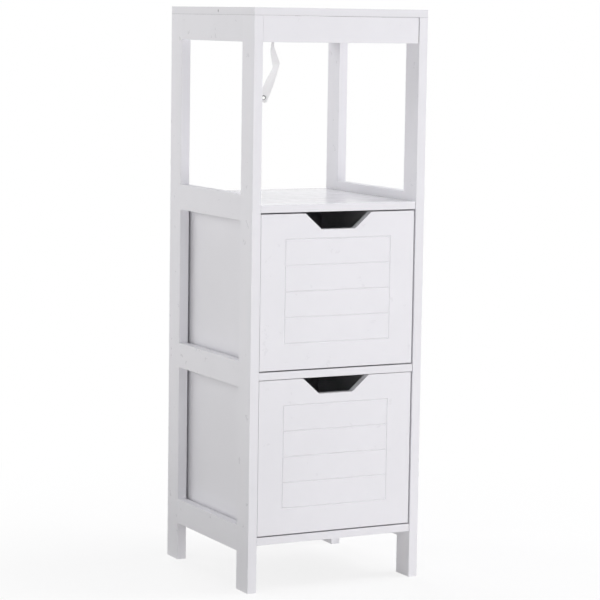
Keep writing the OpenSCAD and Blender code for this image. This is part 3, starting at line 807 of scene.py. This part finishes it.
def cross_slots(t, face, span, slot, depth):
    """Two crossed slots that narrow downwards, to be cut into a face that looks up."""
    cube = t.add("GeometryNodeMeshCube", {"Size": (1, 1, 1)})
    x, y, z = t.parts(t.add("GeometryNodeInputPosition"))
    place = t.point(
        x * span * t.ramp(z, -0.5, 0.5, 0.45, 1.55),
        y * slot * t.ramp(z, -0.5, 0.5, 0.8, 1.2),
        z * 2.0 * depth + face,
    )
    one = t.placed(cube, place)
    return one, t.moved(one, turn=(0, 0, math.pi / 2))


def stand_on_seats(t, given, mesh):
    """Ends a tree: copies on the seats, each with a roll and a chance value."""
    here = t.add("GeometryNodeInputPosition")
    kept = t.add(
        "GeometryNodeStoreNamedAttribute",
        {"Geometry": mesh, "Name": "local", "Value": here},
        data_type="FLOAT_VECTOR",
        domain="POINT",
    )
    turn = t.add(
        "GeometryNodeInputNamedAttribute", {"Name": "turn"}, data_type="QUATERNION"
    )
    rolled, chance = (
        t.add("FunctionNodeRandomValue", {"Seed": seed}, 1, data_type="FLOAT")
        for seed in (given["Seed"], given["Seed"] + 7.0)
    )
    roll = t.add(
        "FunctionNodeAxisAngleToRotation", {"Axis": UP, "Angle": rolled * given["Roll"]}
    )
    whole = t.add(
        "FunctionNodeRotateRotation",
        {"Rotation": turn, "Rotate By": roll},
        rotation_space="LOCAL",
    )
    copies = t.add(
        "GeometryNodeInstanceOnPoints",
        {"Points": given["Seats"], "Instance": kept, "Rotation": whole},
    )
    marked = t.add(
        "GeometryNodeStoreNamedAttribute",
        {"Geometry": copies, "Name": "chance", "Value": chance},
        data_type="FLOAT",
        domain="INSTANCE",
    )
    real = t.add("GeometryNodeRealizeInstances", {"Geometry": marked})
    values = {"Geometry": real, "Material": given["Material"]}
    t.node("NodeGroupOutput", {"Mesh": t.add("GeometryNodeSetMaterial", values)})


def lock_tree():
    """A cast cam lock: a raised rim, a cross for the driver, an arrow that shows where
    the bolt comes in, a hollow for the bolt's head and a neck slot towards -X."""
    tree, t, given = shape_tree(
        "Cam Lock", {"Width": 0.015, "Height": 0.01, "Axis Depth": 0.006}
    )
    r = given["Width"] * 0.5
    low, axis = -given["Height"], -given["Axis Depth"]
    # In millimetres: in from the edge and up from the face
    rim = ((1.7, -0.3), (1.5, -0.05), (1.35, 0), (0.35, 0), (0.1, -0.1), (0, -0.35))
    profile = [(0.0, -0.3 * MM), *((r - by * MM, up * MM) for by, up in rim)]
    profile += [(r, low + 0.6 * MM), (r - 0.5 * MM, low), (0.0, low)]
    body = turned_profile(t, profile, 40)
    ball = t.add(
        "GeometryNodeMeshUVSphere", {"Segments": 24, "Rings": 14, "Radius": 4.3 * MM}
    )
    neck = t.add(
        "GeometryNodeMeshCylinder",
        {"Vertices": 20, "Radius": 2.7 * MM, "Depth": 12 * MM},
    )
    sizes = {"Radius Top": 0.9 * MM, "Radius Bottom": 0.75 * MM, "Depth": 0.6 * MM}
    arrow = t.add("GeometryNodeMeshCone", {"Vertices": 3, **sizes})
    hollow = t.moved(ball, t.point(0.0, 0.0, axis))
    slot = t.moved(neck, t.point(-6 * MM, 0.0, axis), (0, math.pi / 2, 0))
    mark = t.moved(arrow, (-4.6 * MM, 0, -0.55 * MM), (0, 0, math.pi))
    cross = cross_slots(t, -0.3 * MM, 6.0 * MM, 1.2 * MM, 1.3 * MM)
    stand_on_seats(t, given, t.cut(body, hollow, slot, mark, *cross))
    return tree


def bolt_tree():
    """A cam bolt, point down: coarse thread, collar, shank, neck and round head."""
    tree, t, given = shape_tree(
        "Cam Bolt",
        {"Width": 0.006, "Pitch": 0.0019, "Thread Length": 0.0095, "Reach": 0.0225},
    )
    reach, crest = given["Reach"], given["Width"] * 0.5
    # In millimetres: radius and height above the bolt's reach, then above its collar
    head = ((0.0, 3.2), (1.6, 3.2), (2.4, 3.05), (3.0, 2.4), (3.0, 1.0), (2.5, 0.4))
    neck = ((1.7, 0.0), (1.7, -2.0), (2.5, -3.0))
    collar = ((2.5, 1.0), (3.1, 1.0), (3.3, 0.8), (3.3, 0.1), (3.15, 0.0), (0.0, 0.0))
    profile = [(radius * MM, reach + more * MM) for radius, more in head + neck]
    profile += [(radius * MM, height * MM) for radius, height in collar]
    shank = turned_profile(t, profile, 24)
    low, root = -given["Thread Length"], crest * 0.7
    # The thread starts a little inside the collar
    thread = threaded(t, 0.0002, low, root, crest, given["Pitch"], 1.6 * MM, 0.72)
    stand_on_seats(t, given, t.join(shank, thread))
    return tree


def screw_tree(name, pan):
    """A wood screw, point down, with a cross in its countersunk or pan head."""
    tree, t, given = shape_tree(name, DRAWER_SCREW)
    crest, cap = given["Width"] * 0.5, given["Head Width"] * 0.5
    under, plain = -given["Head Height"], crest * 0.78
    plain_end = under - given["Plain Length"]
    if pan:
        top = (
            (0.0, 0.0),
            (cap * 0.5, -0.02 * MM),
            (cap * 0.7, -0.1 * MM),
            (cap * 0.86, under * 0.18),
            (cap * 0.96, under * 0.36),
            (cap, under * 0.6),
            (cap, under * 0.97),
            (cap * 0.97, under),
            (plain, under),
        )
    else:
        top = (
            (0.0, 0.0),
            (cap * 0.97, 0.0),
            (cap, -0.06 * MM),
            (cap * 0.99, -0.16 * MM),
            (crest, under),
            (plain, under * 1.2),
        )
    head = turned_profile(t, (*top, (plain, plain_end), (0.0, plain_end)), 28)
    span, sunk = given["Head Width"] * 0.52, given["Head Height"] * 0.6
    head = t.cut(head, *cross_slots(t, 0.0, span, 0.85 * MM, sunk))
    # The thread starts a little inside the plain part
    start, low = plain_end + 0.3 * MM, -given["Length"]
    root = crest * 0.64
    thread = threaded(t, start, low, root, crest, given["Pitch"], 3.2 * MM, 0.12)
    stand_on_seats(t, given, t.join(head, thread))
    return tree


def dowel_tree():
    """A fluted dowel with chamfered ends, about its middle."""
    sizes = {"Width": 0.006, "Length": 0.03, "Chamfer": 0.0008, "Flutes": 14.0}
    tree, t, given = shape_tree("Fluted Dowel", {**sizes, "Flute Depth": 0.07})
    r, top, chamfer = given["Width"] * 0.5, given["Length"] * 0.5, given["Chamfer"]
    low, narrow = -top, r - chamfer
    profile = (
        (0.0, top),
        (narrow, top),
        (r, top - chamfer),
        (r, low + chamfer),
        (narrow, low),
        (0.0, low),
    )
    flutes = (given["Flutes"], given["Flute Depth"])
    stand_on_seats(t, given, turned_profile(t, profile, 56, flutes))
    return tree


def eyelet_tree():
    """A rolled eyelet about its hole: a domed rim on top, a flat washer below, and the
    tube's split lip rolled over it."""
    tree, t, given = shape_tree(
        "Rolled Eyelet", {"Hole Width": 0.005, "Rim Width": 0.0092, "Grip": 0.0013}
    )
    hole, rim = given["Hole Width"] * 0.5, given["Rim Width"] * 0.5
    top = given["Grip"] * 0.5
    low = -top
    # In millimetres: out from the hole or in from the rim, and up from the strap's top
    # or down from its underside
    rows = (
        (hole, 0.0, top, -0.1),
        (hole, 0.06, top, 0.18),
        (hole, 0.25, top, 0.34),
        (hole, 0.55, top, 0.4),
        (hole, 1.0, top, 0.385),
        (rim, -0.6, top, 0.3),
        (rim, -0.25, top, 0.19),
        (rim, -0.06, top, 0.08),
        (rim, 0.0, top, 0.02),
        (rim, -0.1, top, 0.0),
        (hole, 0.5, top, 0.0),
        (hole, 0.5, low, 0.0),
        (rim, -0.05, low, 0.0),
        (rim, 0.0, low, -0.1),
        (rim, -0.08, low, -0.2),
        (hole, 0.9, low, -0.24),
        (hole, 0.75, low, -0.36),
        (hole, 0.45, low, -0.4),
        (hole, 0.15, low, -0.33),
        (hole, 0.0, low, -0.12),
    )
    profile = [(side + out * MM, face + up * MM) for side, out, face, up in rows]
    # The middle of the tube closes the ring
    profile = [(hole, 0.0), *profile, (hole, 0.0)]
    stand_on_seats(t, given, turned_profile(t, profile, 48))
    return tree


# --------------------------------------------------------------------- making pieces


def seat(point, up_way, side_way=None):
    """A fitting's place in millimetres and the ways of its own Z and X."""
    up_way = Vector(up_way).normalized()
    side_way = Vector(side_way) if side_way else up_way.orthogonal()
    side_way = (side_way - side_way.project(up_way)).normalized()
    columns = Matrix((side_way, up_way.cross(side_way), up_way)).transposed()
    return Vector(point) * MM, columns.to_quaternion()


def linked(context, name, data):
    """A new object in the scene."""
    thing = bpy.data.objects.new(name, data)
    context.scene.collection.objects.link(thing)
    return thing


def mesh_from(name, form):
    mesh = bpy.data.meshes.new(name)
    form.to_mesh(mesh)
    form.free()
    return mesh


def make_real(context, piece, modifier, sharp):
    """Turns a piece with its modifier into a plain mesh, with edges kept sharp from
    this angle in degrees."""
    context.view_layer.update()
    graph = context.evaluated_depsgraph_get()
    made = bpy.data.meshes.new_from_object(
        piece.evaluated_get(graph), preserve_all_data_layers=True, depsgraph=graph
    )
    if not made.polygons:
        raise RuntimeError(f"{piece.name} came out empty")
    piece.modifiers.remove(modifier)
    before, piece.data = piece.data, made
    bpy.data.meshes.remove(before)
    made.name = piece.name
    made.shade_smooth()
    made.set_sharp_from_angle(angle=math.radians(sharp))


def settle(piece, node):
    """Lets a piece stand for a node: puts it on the node's body and hides the node."""
    body = next((drawer for drawer in DRAWERS if node.startswith(drawer)), "cabinet")
    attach(piece, body)
    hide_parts(node)


def fit(context, name, node, seats, tree, material, sizes, roll=math.tau):
    """Makes one plain mesh of a fitting on its seats and puts it in its node's place.
    Each copy is rolled about its axis by a chance share of the roll."""
    mesh = bpy.data.meshes.new(name)
    mesh.from_pydata([place for place, _ in seats], [], [])
    turns = mesh.attributes.new("turn", "QUATERNION", "POINT")
    for number, (_, turn) in enumerate(seats):
        turns.data[number].value = turn
    piece = linked(context, name, mesh)
    maker = piece.modifiers.new(tree.name, "NODES")
    maker.node_group = tree
    seed = context.scene.tower.fittings.seed
    values = {**sizes, "Material": material, "Roll": roll, "Seed": seed}
    for socket in tree.interface.items_tree:
        if socket.in_out == "INPUT" and socket.name in values:
            maker[socket.identifier] = values[socket.name]
    make_real(context, piece, maker, 32)
    settle(piece, node)


def fit_drawers(context, kind, levels_at, place_seat, *making):
    """Fits one kind of fitting on both sides of each drawer, at the heights that stand
    at this number in its joints."""
    for drawer, joints in DRAWER_JOINTS.items():
        seats = [
            place_seat(outer, inner, level)
            for outer, inner in DRAWER_SIDES
            for level in joints[levels_at]
        ]
        name, node = (f"{drawer}_{word}" for word in kind)
        fit(context, name, node, seats, *making)


# -------------------------------------------------------------------------- operators


class TOWER_OT_cam_locks(bpy.types.Operator):
    """Makes the cast cam locks of the boards, the aprons, the top and the drawers"""

    bl_idname = "tower.cam_locks"
    bl_label = "Cam Locks"

    def execute(self, context):
        fittings = context.scene.tower.fittings
        tree = lock_tree()
        zinc = metal_material(
            "cast_zinc", fittings.zinc_colour, 0.44, 0.0011, 0.0, 4e-6
        )
        thin = {"Width": fittings.lock_width, "Height": 0.01, "Axis Depth": 0.006}
        thick = {"Width": fittings.lock_width, "Height": 0.0115, "Axis Depth": 0.0075}
        boards = [
            seat((side * LOCK_REACH, y, level - HALF_BOARD), DOWN, (-side, 0, 0))
            for side, y, level in BOARD_JOINTS
        ]
        fit(context, "board_locks", "board_cam_locks", boards, tree, zinc, thin, 0.0)
        aprons = []
        for side in SIDES:
            for y, way in ((-FRAME_FACE, BACK), (FRAME_FACE, FRONT)):
                place = (side * LOCK_REACH, y, APRON_LEVEL)
                aprons.append(seat(place, way, (-side, 0, 0)))
                aprons.append(seat((side * TOP_JOINT, y, TOP_LOCK_LEVEL), way, DOWN))
        fit(context, "apron_locks", "apron_cam_locks", aprons, tree, zinc, thick, 0.0)

        def in_side(outer, inner, level):
            return seat((inner, DRAWER_LOCK, level), (inner - outer, 0, 0), BACK)

        kind = ("locks", "cam_locks")
        fit_drawers(context, kind, 0, in_side, tree, zinc, thin, 0.0)
        return {"FINISHED"}


class TOWER_OT_cam_bolts(bpy.types.Operator):
    """Makes the bolts that the cam locks draw in"""

    bl_idname = "tower.cam_bolts"
    bl_label = "Cam Bolts"

    def execute(self, context):
        fittings = context.scene.tower.fittings
        steel = metal_material(
            "plated_bolt_steel", fittings.steel_colour, 0.3, 0.0016, 1.2e-6, 1.5e-6
        )
        sizes = {"Width": fittings.thread_width, "Pitch": fittings.thread_pitch}
        making = (bolt_tree(), steel, sizes)
        boards = [
            seat((side * FRAME_FACE, y, level), (-side, 0, 0))
            for side, y, level in BOARD_JOINTS
        ]
        fit(context, "board_bolts", "board_cam_bolts", boards, *making)
        aprons = []
        for side in SIDES:
            for y in (-FRAME_MIDDLE, FRAME_MIDDLE):
                place = (side * FRAME_FACE, y, APRON_LEVEL)
                aprons.append(seat(place, (-side, 0, 0)))
                aprons.append(seat((side * TOP_JOINT, y, TOP_FACE), DOWN))
        fit(context, "apron_bolts", "apron_cam_bolts", aprons, *making)

        def in_front(outer, inner, level):
            return seat(((outer + inner) / 2, DRAWER_FRONT, level), BACK)

        fit_drawers(context, ("bolts", "cam_bolts"), 0, in_front, *making)
        return {"FINISHED"}


class TOWER_OT_screws(bpy.types.Operator):
    """Makes the screws of the batten, the drawers' backs and the strap"""

    bl_idname = "tower.screws"
    bl_label = "Screws"

    def execute(self, context):
        fittings = context.scene.tower.fittings
        sunk, pan = screw_tree("Sunk Screw", False), screw_tree("Pan Screw", True)
        steel = metal_material(
            "plated_screw_steel", fittings.steel_colour, 0.34, 0.0013, 1e-6, 1.5e-6
        )
        under = [seat((0, y, BATTEN_FACE), DOWN) for y in (-100, 0, 100)]
        making = (sunk, steel, BATTEN_SCREW)
        fit(context, "batten_wood_screws", "batten_screws", under, *making)

        def in_back(outer, inner, level):
            return seat((outer, DRAWER_BACK, level), (outer - inner, 0, 0))

        kind = ("wood_screws", "screws")
        fit_drawers(context, kind, 1, in_back, sunk, steel, DRAWER_SCREW)
        hung = [seat(STRAP_SCREW_TOP, FRONT)]
        fit(context, "strap_pan_screw", "strap_screw", hung, pan, steel, STRAP_SCREW)
        return {"FINISHED"}


class TOWER_OT_dowels(bpy.types.Operator):
    """Makes the fluted beech dowels"""

    bl_idname = "tower.dowels"
    bl_label = "Dowels"

    def execute(self, context):
        fittings = context.scene.tower.fittings
        tree, beech = dowel_tree(), beech_material(fittings.beech_colour)
        for node, (length, way, aside, back, levels) in DOWELS.items():
            seats = [
                seat((side * aside, y, level), way)
                for side, y, level in product(SIDES, (-back, back), levels)
            ]
            sizes = {
                "Width": fittings.dowel_width,
                "Length": length,
                "Flutes": float(fittings.flute_count),
                "Flute Depth": fittings.flute_depth,
            }
            fit(context, f"fluted_{node}", node, seats, tree, beech, sizes)
        return {"FINISHED"}


class TOWER_OT_strap(bpy.types.Operator):
    """Makes the woven safety strap, as it hangs in its bends, and its two eyelets"""

    bl_idname = "tower.strap"
    bl_label = "Strap"

    def execute(self, context):
        strap = context.scene.tower.strap
        colour = context.scene.tower.fittings.eyelet_colour
        rows, eyes = self.route(strap)
        length = rows[-1][3]
        metal = metal_material(
            "eyelet_metal", colour, 0.3, 0.0014, 8e-7, 1e-6, shaded_lip=0.0034
        )
        tree, seats = eyelet_tree(), [seat(*eye) for eye in eyes]
        fit(context, "rolled_eyelets", "strap_eyelets", seats, tree, metal, {}, 0.0)
        mesh = self.band(strap, rows)
        mesh.materials.append(webbing_material(strap, length))
        piece = linked(context, "hanging_strap", mesh)
        self.punch_holes(context, piece, strap, eyes)
        settle(piece, "safety_strap")
        return {"FINISHED"}

    def route(self, strap):
        """Rows down the strap, as (place, way across, half width, length so far), and
        the places and ways of its eyelets. Places in millimetres, lengths in metres."""
        half = HALF_IN_MM * strap.width
        rows = [
            (Vector((0, 0, past)), Vector(RIGHT), half - cut)
            for past, cut in reversed(STRAP_END[1:])
        ]
        last = len(STRAP_BENDS) - 1
        for number in range(last):
            steps = 4 if number < 2 else 8
            for share in (step / steps for step in range(steps)):
                place = Vector(self.eased(number, share, 0))
                rows.append((place, self.across(number, share), half))
        fold, fold_way = Vector(STRAP_BENDS[-1][0]), self.across(last - 1, 1.0)
        down = STRAP_DROP.normalized()
        low_way = down.cross(Vector((math.sin(STRAP_FACE), math.cos(STRAP_FACE), 0)))
        low_way.normalize()
        steps = 24
        for step in range(steps):
            along = step / steps * STRAP_DROP.length
            share = min(1.0, along / STRAP_SETTLE)
            share = share * share * (3 - 2 * share)
            way = (fold_way * (1 - share) + low_way * share).normalized()
            rows.append((fold + down * along, way, half))
        low = fold + STRAP_DROP
        for past, cut in STRAP_END:
            rows.append((low + down * past, low_way, half - cut))
        far, whole, before = [], 0.0, rows[0][0]
        for place, way, wide in rows:
            whole += (place - before).length * MM
            before = place
            far.append((STRAP_ANCHOR + place, way, wide, whole))
        eyes = (
            (STRAP_ANCHOR, FRONT, RIGHT),
            (STRAP_ANCHOR + low, down.cross(low_way), low_way),
        )
        return far, eyes

    def eased(self, number, share, part):
        """A bend's place or angle, eased through the bends before and after it."""
        last = len(STRAP_BENDS) - 1
        near = [
            STRAP_BENDS[max(0, min(last, number + step))][part]
            for step in (-1, 0, 1, 2)
        ]
        if part == 0:
            return [self.blend(*values, share) for values in zip(*near)]
        return self.blend(*near, share)

    def blend(self, a, b, c, d, u):
        """A value between b and c on a curve that also heeds a and d."""
        return 0.5 * (
            2 * b
            + (c - a) * u
            + (2 * a - 5 * b + 4 * c - d) * u * u
            + (3 * b - a - 3 * c + d) * u**3
        )

    def across(self, number, share):
        turn, tilt = (math.radians(self.eased(number, share, part)) for part in (1, 2))
        level = math.cos(tilt)
        return Vector((level * math.cos(turn), level * math.sin(turn), math.sin(tilt)))

    def section(self):
        """Round the band: share of the width, inset in millimetres, share of the
        thickness."""
        flat = [-1 + step / 5 for step in range(11)]
        rim = ((0.3, 0.86), (0.08, 0.5), (0.0, 0.0), (0.08, -0.5), (0.3, -0.86))
        return [
            *((share, 0.7, 1.0) for share in flat),
            *((1, inset, level) for inset, level in rim),
            *((-share, 0.7, -1.0) for share in flat),
            *((-1, inset, -level) for inset, level in rim),
        ]

    def band(self, strap, rows):
        """A closed band with rounded selvedges. Its UV map is in metres."""
        half = HALF_IN_MM * strap.thickness
        form = bmesh.new()
        uv = form.loops.layers.uv.new("weave")
        spots, rings = {}, []
        for number, (place, way, wide, far) in enumerate(rows):
            first, last = number == 0, number == len(rows) - 1
            ahead = rows[number + (not last)][0] - rows[number - (not first)][0]
            out = way.cross(ahead).normalized()
            thin = half * (0.8 if first or last else 1.0)
            ring = []
            for share, inset, level in self.section():
                offset = share * (wide - inset)
                spot = (place + way * offset + out * level * thin) * MM
                corner = form.verts.new(spot)
                spots[corner] = (offset * MM, far)
                ring.append(corner)
            rings.append(ring)
        for before, after in zip(rings, rings[1:]):
            for number, corner in enumerate(before):
                beside = (number + 1) % len(before)
                form.faces.new((corner, before[beside], after[beside], after[number]))
        for ring in (rings[0][::-1], rings[-1]):
            form.faces.new(ring)
        bmesh.ops.recalc_face_normals(form, faces=form.faces)
        for face in form.faces:
            for loop in face.loops:
                loop[uv].uv = spots[loop.vert]
        return mesh_from("hanging_strap", form)

    def punch_holes(self, context, piece, strap, eyes):
        """Punches the two holes that the eyelets sit in."""
        form = bmesh.new()
        for place, turn in (seat(*eye) for eye in eyes):
            bmesh.ops.create_cone(
                form,
                cap_ends=True,
                segments=40,
                radius1=strap.hole / 2,
                radius2=strap.hole / 2,
                depth=0.006,
                matrix=Matrix.Translation(place) @ turn.to_matrix().to_4x4(),
            )
        mesh = mesh_from("punch", form)
        punch = linked(context, "punch", mesh)
        cutter = piece.modifiers.new("punch", "BOOLEAN")
        cutter.object, cutter.operation, cutter.solver = punch, "DIFFERENCE", "EXACT"
        make_real(context, piece, cutter, 50)
        bpy.data.objects.remove(punch)
        bpy.data.meshes.remove(mesh)


class TOWER_OT_painted_boards(bpy.types.Operator):
    """Gives every painted board satin lacquer with a pattern of its own"""

    bl_idname = "tower.painted_boards"
    bl_label = "Painted Boards"

    def execute(self, context):
        paint = context.scene.tower.paint
        group = lacquer_group(paint)
        # The films of foil on the drawer boxes and of thin hardboard. On a level board
        # the spray flows out flatter and dries glossier
        films = {
            "painted_drawer_box": (0.03, 0.45, 0.0),
            "painted_hardboard": (0.07, 0.7, 0.000004),
        }
        plain, level = (0.0, 1.0, 0.0), (-0.13, 0.8, 0.0)
        for number, (name, thin_axis) in enumerate(self.boards()):
            shift = (0.37 * number, 0.11 * number, 0.23 * number)
            tone = 0.972 if name == "top_panel" else 1.0 - 0.004 * (number % 4)
            film = level if name in LEVEL_BOARDS else films.get(SLOTS[name], plain)
            material = lacquer_material(
                f"lacquer_{name}", group, paint, thin_axis, shift, tone, film
            )
            use(name, material)
        return {"FINISHED"}

    def boards(self):
        """Every painted board, with the axis that runs through its thickness."""
        sides = ("left", "right")
        posts = [f"{end}_{side}_post" for end in ("front", "back") for side in sides]
        rails = [f"{side}_{level}_rail" for side in sides for level in RAIL_LEVELS]
        boards = [(name, RIGHT) for name in posts + rails]
        boards += [(name, UP) for name in LEVEL_BOARDS]
        boards += [("front_apron", BACK), ("back_apron", BACK)]
        boards += [("bottom_batten", RIGHT)]
        boards += [("upper_back_panel", BACK), ("lower_back_panel", BACK)]
        for drawer in DRAWERS:
            boards += [(f"{drawer}_front", BACK), (f"{drawer}_back", BACK)]
            boards += [(f"{drawer}_{side}_side", RIGHT) for side in sides]
            boards += [(f"{drawer}_bottom", UP)]
        return boards


class TOWER_OT_stage(bpy.types.Operator):
    """Sets up the camera, the floor, the lights and the room"""

    bl_idname = "tower.stage"
    bl_label = "Stage"

    def execute(self, context):
        stage = context.scene.tower.stage
        context.scene.view_settings.view_transform = "Standard"
        self.camera(context, stage)
        self.floor(context, stage)
        self.room(context, stage)
        for name, share, cool, place, aim, size in SOFT_LIGHTS:
            power = share * stage.light_strength
            colour = (1 - 0.022 * cool, 1 - 0.027 * cool, 1.0)
            self.lamp(context, name, power, colour, place, aim, size)
        return {"FINISHED"}

    def camera(self, context, stage):
        turn, drop, roll = stage.camera_azimuth, stage.camera_drop, stage.camera_roll
        level = math.cos(drop)
        ahead = Vector(
            (level * math.sin(turn), level * math.cos(turn), -math.sin(drop))
        )
        right = ahead.cross(Vector(UP)).normalized()
        above = right.cross(ahead)
        x_axis = math.cos(roll) * right + math.sin(roll) * above
        y_axis = math.cos(roll) * above - math.sin(roll) * right
        data = bpy.data.cameras.new("photo_camera")
        data.sensor_width = 36.0
        data.lens = stage.lens
        data.clip_start, data.clip_end = 0.1, 60.0
        camera = linked(context, "photo_camera", data)
        turned = Matrix((x_axis, y_axis, -ahead)).transposed().to_4x4()
        camera.matrix_world = Matrix.Translation(stage.camera_place) @ turned
        context.scene.camera = camera

    def floor(self, context, stage):
        form = bmesh.new()
        bmesh.ops.create_circle(
            form, cap_ends=True, radius=stage.floor_radius, segments=96
        )
        mesh = mesh_from("studio_floor", form)
        mesh.materials.append(self.floor_material())
        linked(context, "studio_floor", mesh)

    def floor_material(self):
        """White to the camera, faintly shaded near the tower; pale grey to light."""
        material, t = new_material("studio_floor")
        place = t.add("ShaderNodeTexCoord", take="Object")
        away = t.vectors("LENGTH", place)
        fade = t.ramp(away, 0.25, 1.0, 0.8, 1.0, True)
        shaded = t.add("ShaderNodeBsdfDiffuse", {"Color": (0.98, 0.98, 0.98, 1.0)})
        white = t.add("ShaderNodeEmission", {"Color": WHITE, "Strength": 1.0})
        seen = t.mix_shaders(fade, shaded, white)
        # The sweep is greyer just left of the tower, whose side darkens downwards
        x, y, _ = t.parts(place)
        beside = t.ramp(x, -0.2, -0.12, 1.0, 0.0, True)
        beside = beside * t.ramp(x, -0.75, -0.4, 0.0, 1.0, True)
        beside = beside * t.ramp(abs(y), 0.35, 0.75, 1.0, 0.0, True)
        mottle = t.ramp(t.noise(place, 3.0), 0.3, 0.7, 0.97, 1.0)
        grey = t.scaled((0.76, 0.745, 0.725), mottle * (beside * -0.7 + 1.0))
        bounced = t.add("ShaderNodeBsdfDiffuse", {"Color": grey})
        shown = t.mix_shaders(self.looked_at(t), bounced, seen)
        t.node("ShaderNodeOutputMaterial", {"Surface": shown})
        return material

    def looked_at(self, t):
        """1 for rays of the camera, of reflections and of what shines through."""
        path = t.outputs("ShaderNodeLightPath")
        rays = t.maths("MAXIMUM", path["Is Camera Ray"], path["Is Glossy Ray"])
        return t.maths("MAXIMUM", rays, path["Is Transmission Ray"])

    def room(self, context, stage):
        world = bpy.data.worlds.new("studio_room")
        world.use_nodes = True
        context.scene.world = world
        t = Tree(world.node_tree)
        light, white = (
            t.add("ShaderNodeBackground", {"Color": WHITE, "Strength": strength})
            for strength in (stage.room_strength, 1.0)
        )
        shown = t.mix_shaders(self.looked_at(t), light, white)
        t.node("ShaderNodeOutputWorld", {"Surface": shown})

    def lamp(self, context, name, power, colour, place, aim, size):
        data = bpy.data.lights.new(name, "AREA")
        data.shape = "RECTANGLE"
        data.size, data.size_y = size
        data.energy, data.color = power, colour
        lamp = linked(context, name, data)
        lamp.visible_camera = False
        # The others would glare in the lacquer where it is seen at a low angle
        lamp.visible_glossy = name == "overhead"
        turn = (Vector(aim) - Vector(place)).to_track_quat("-Z", "Y")
        lamp.matrix_world = Matrix.Translation(place) @ turn.to_matrix().to_4x4()


class TOWER_PT_panel(bpy.types.Panel):
    """Lists the steps that dress the tower"""

    bl_idname = "TOWER_PT_panel"
    bl_label = "Storage Tower"
    bl_space_type = "VIEW_3D"
    bl_region_type = "UI"
    bl_category = "Storage Tower"

    def draw(self, context):
        for step in STEPS:
            self.layout.operator(step.bl_idname)


STEPS = (
    TOWER_OT_stage,
    TOWER_OT_painted_boards,
    TOWER_OT_cam_locks,
    TOWER_OT_cam_bolts,
    TOWER_OT_screws,
    TOWER_OT_dowels,
    TOWER_OT_strap,
)
CLASSES = (
    PaintSettings,
    FittingSettings,
    StrapSettings,
    StageSettings,
    TowerSettings,
    *STEPS,
    TOWER_PT_panel,
)


def register():
    for item in CLASSES:
        bpy.utils.register_class(item)
    bpy.types.Scene.tower = PointerProperty(type=TowerSettings)


def unregister():
    del bpy.types.Scene.tower
    for item in reversed(CLASSES):
        bpy.utils.unregister_class(item)


def main():
    register()
    bpy.ops.tower.stage()
    bpy.ops.tower.painted_boards()
    bpy.ops.tower.cam_locks()
    bpy.ops.tower.cam_bolts()
    bpy.ops.tower.screws()
    bpy.ops.tower.dowels()
    bpy.ops.tower.strap()


if __name__ == "__main__":
    main()
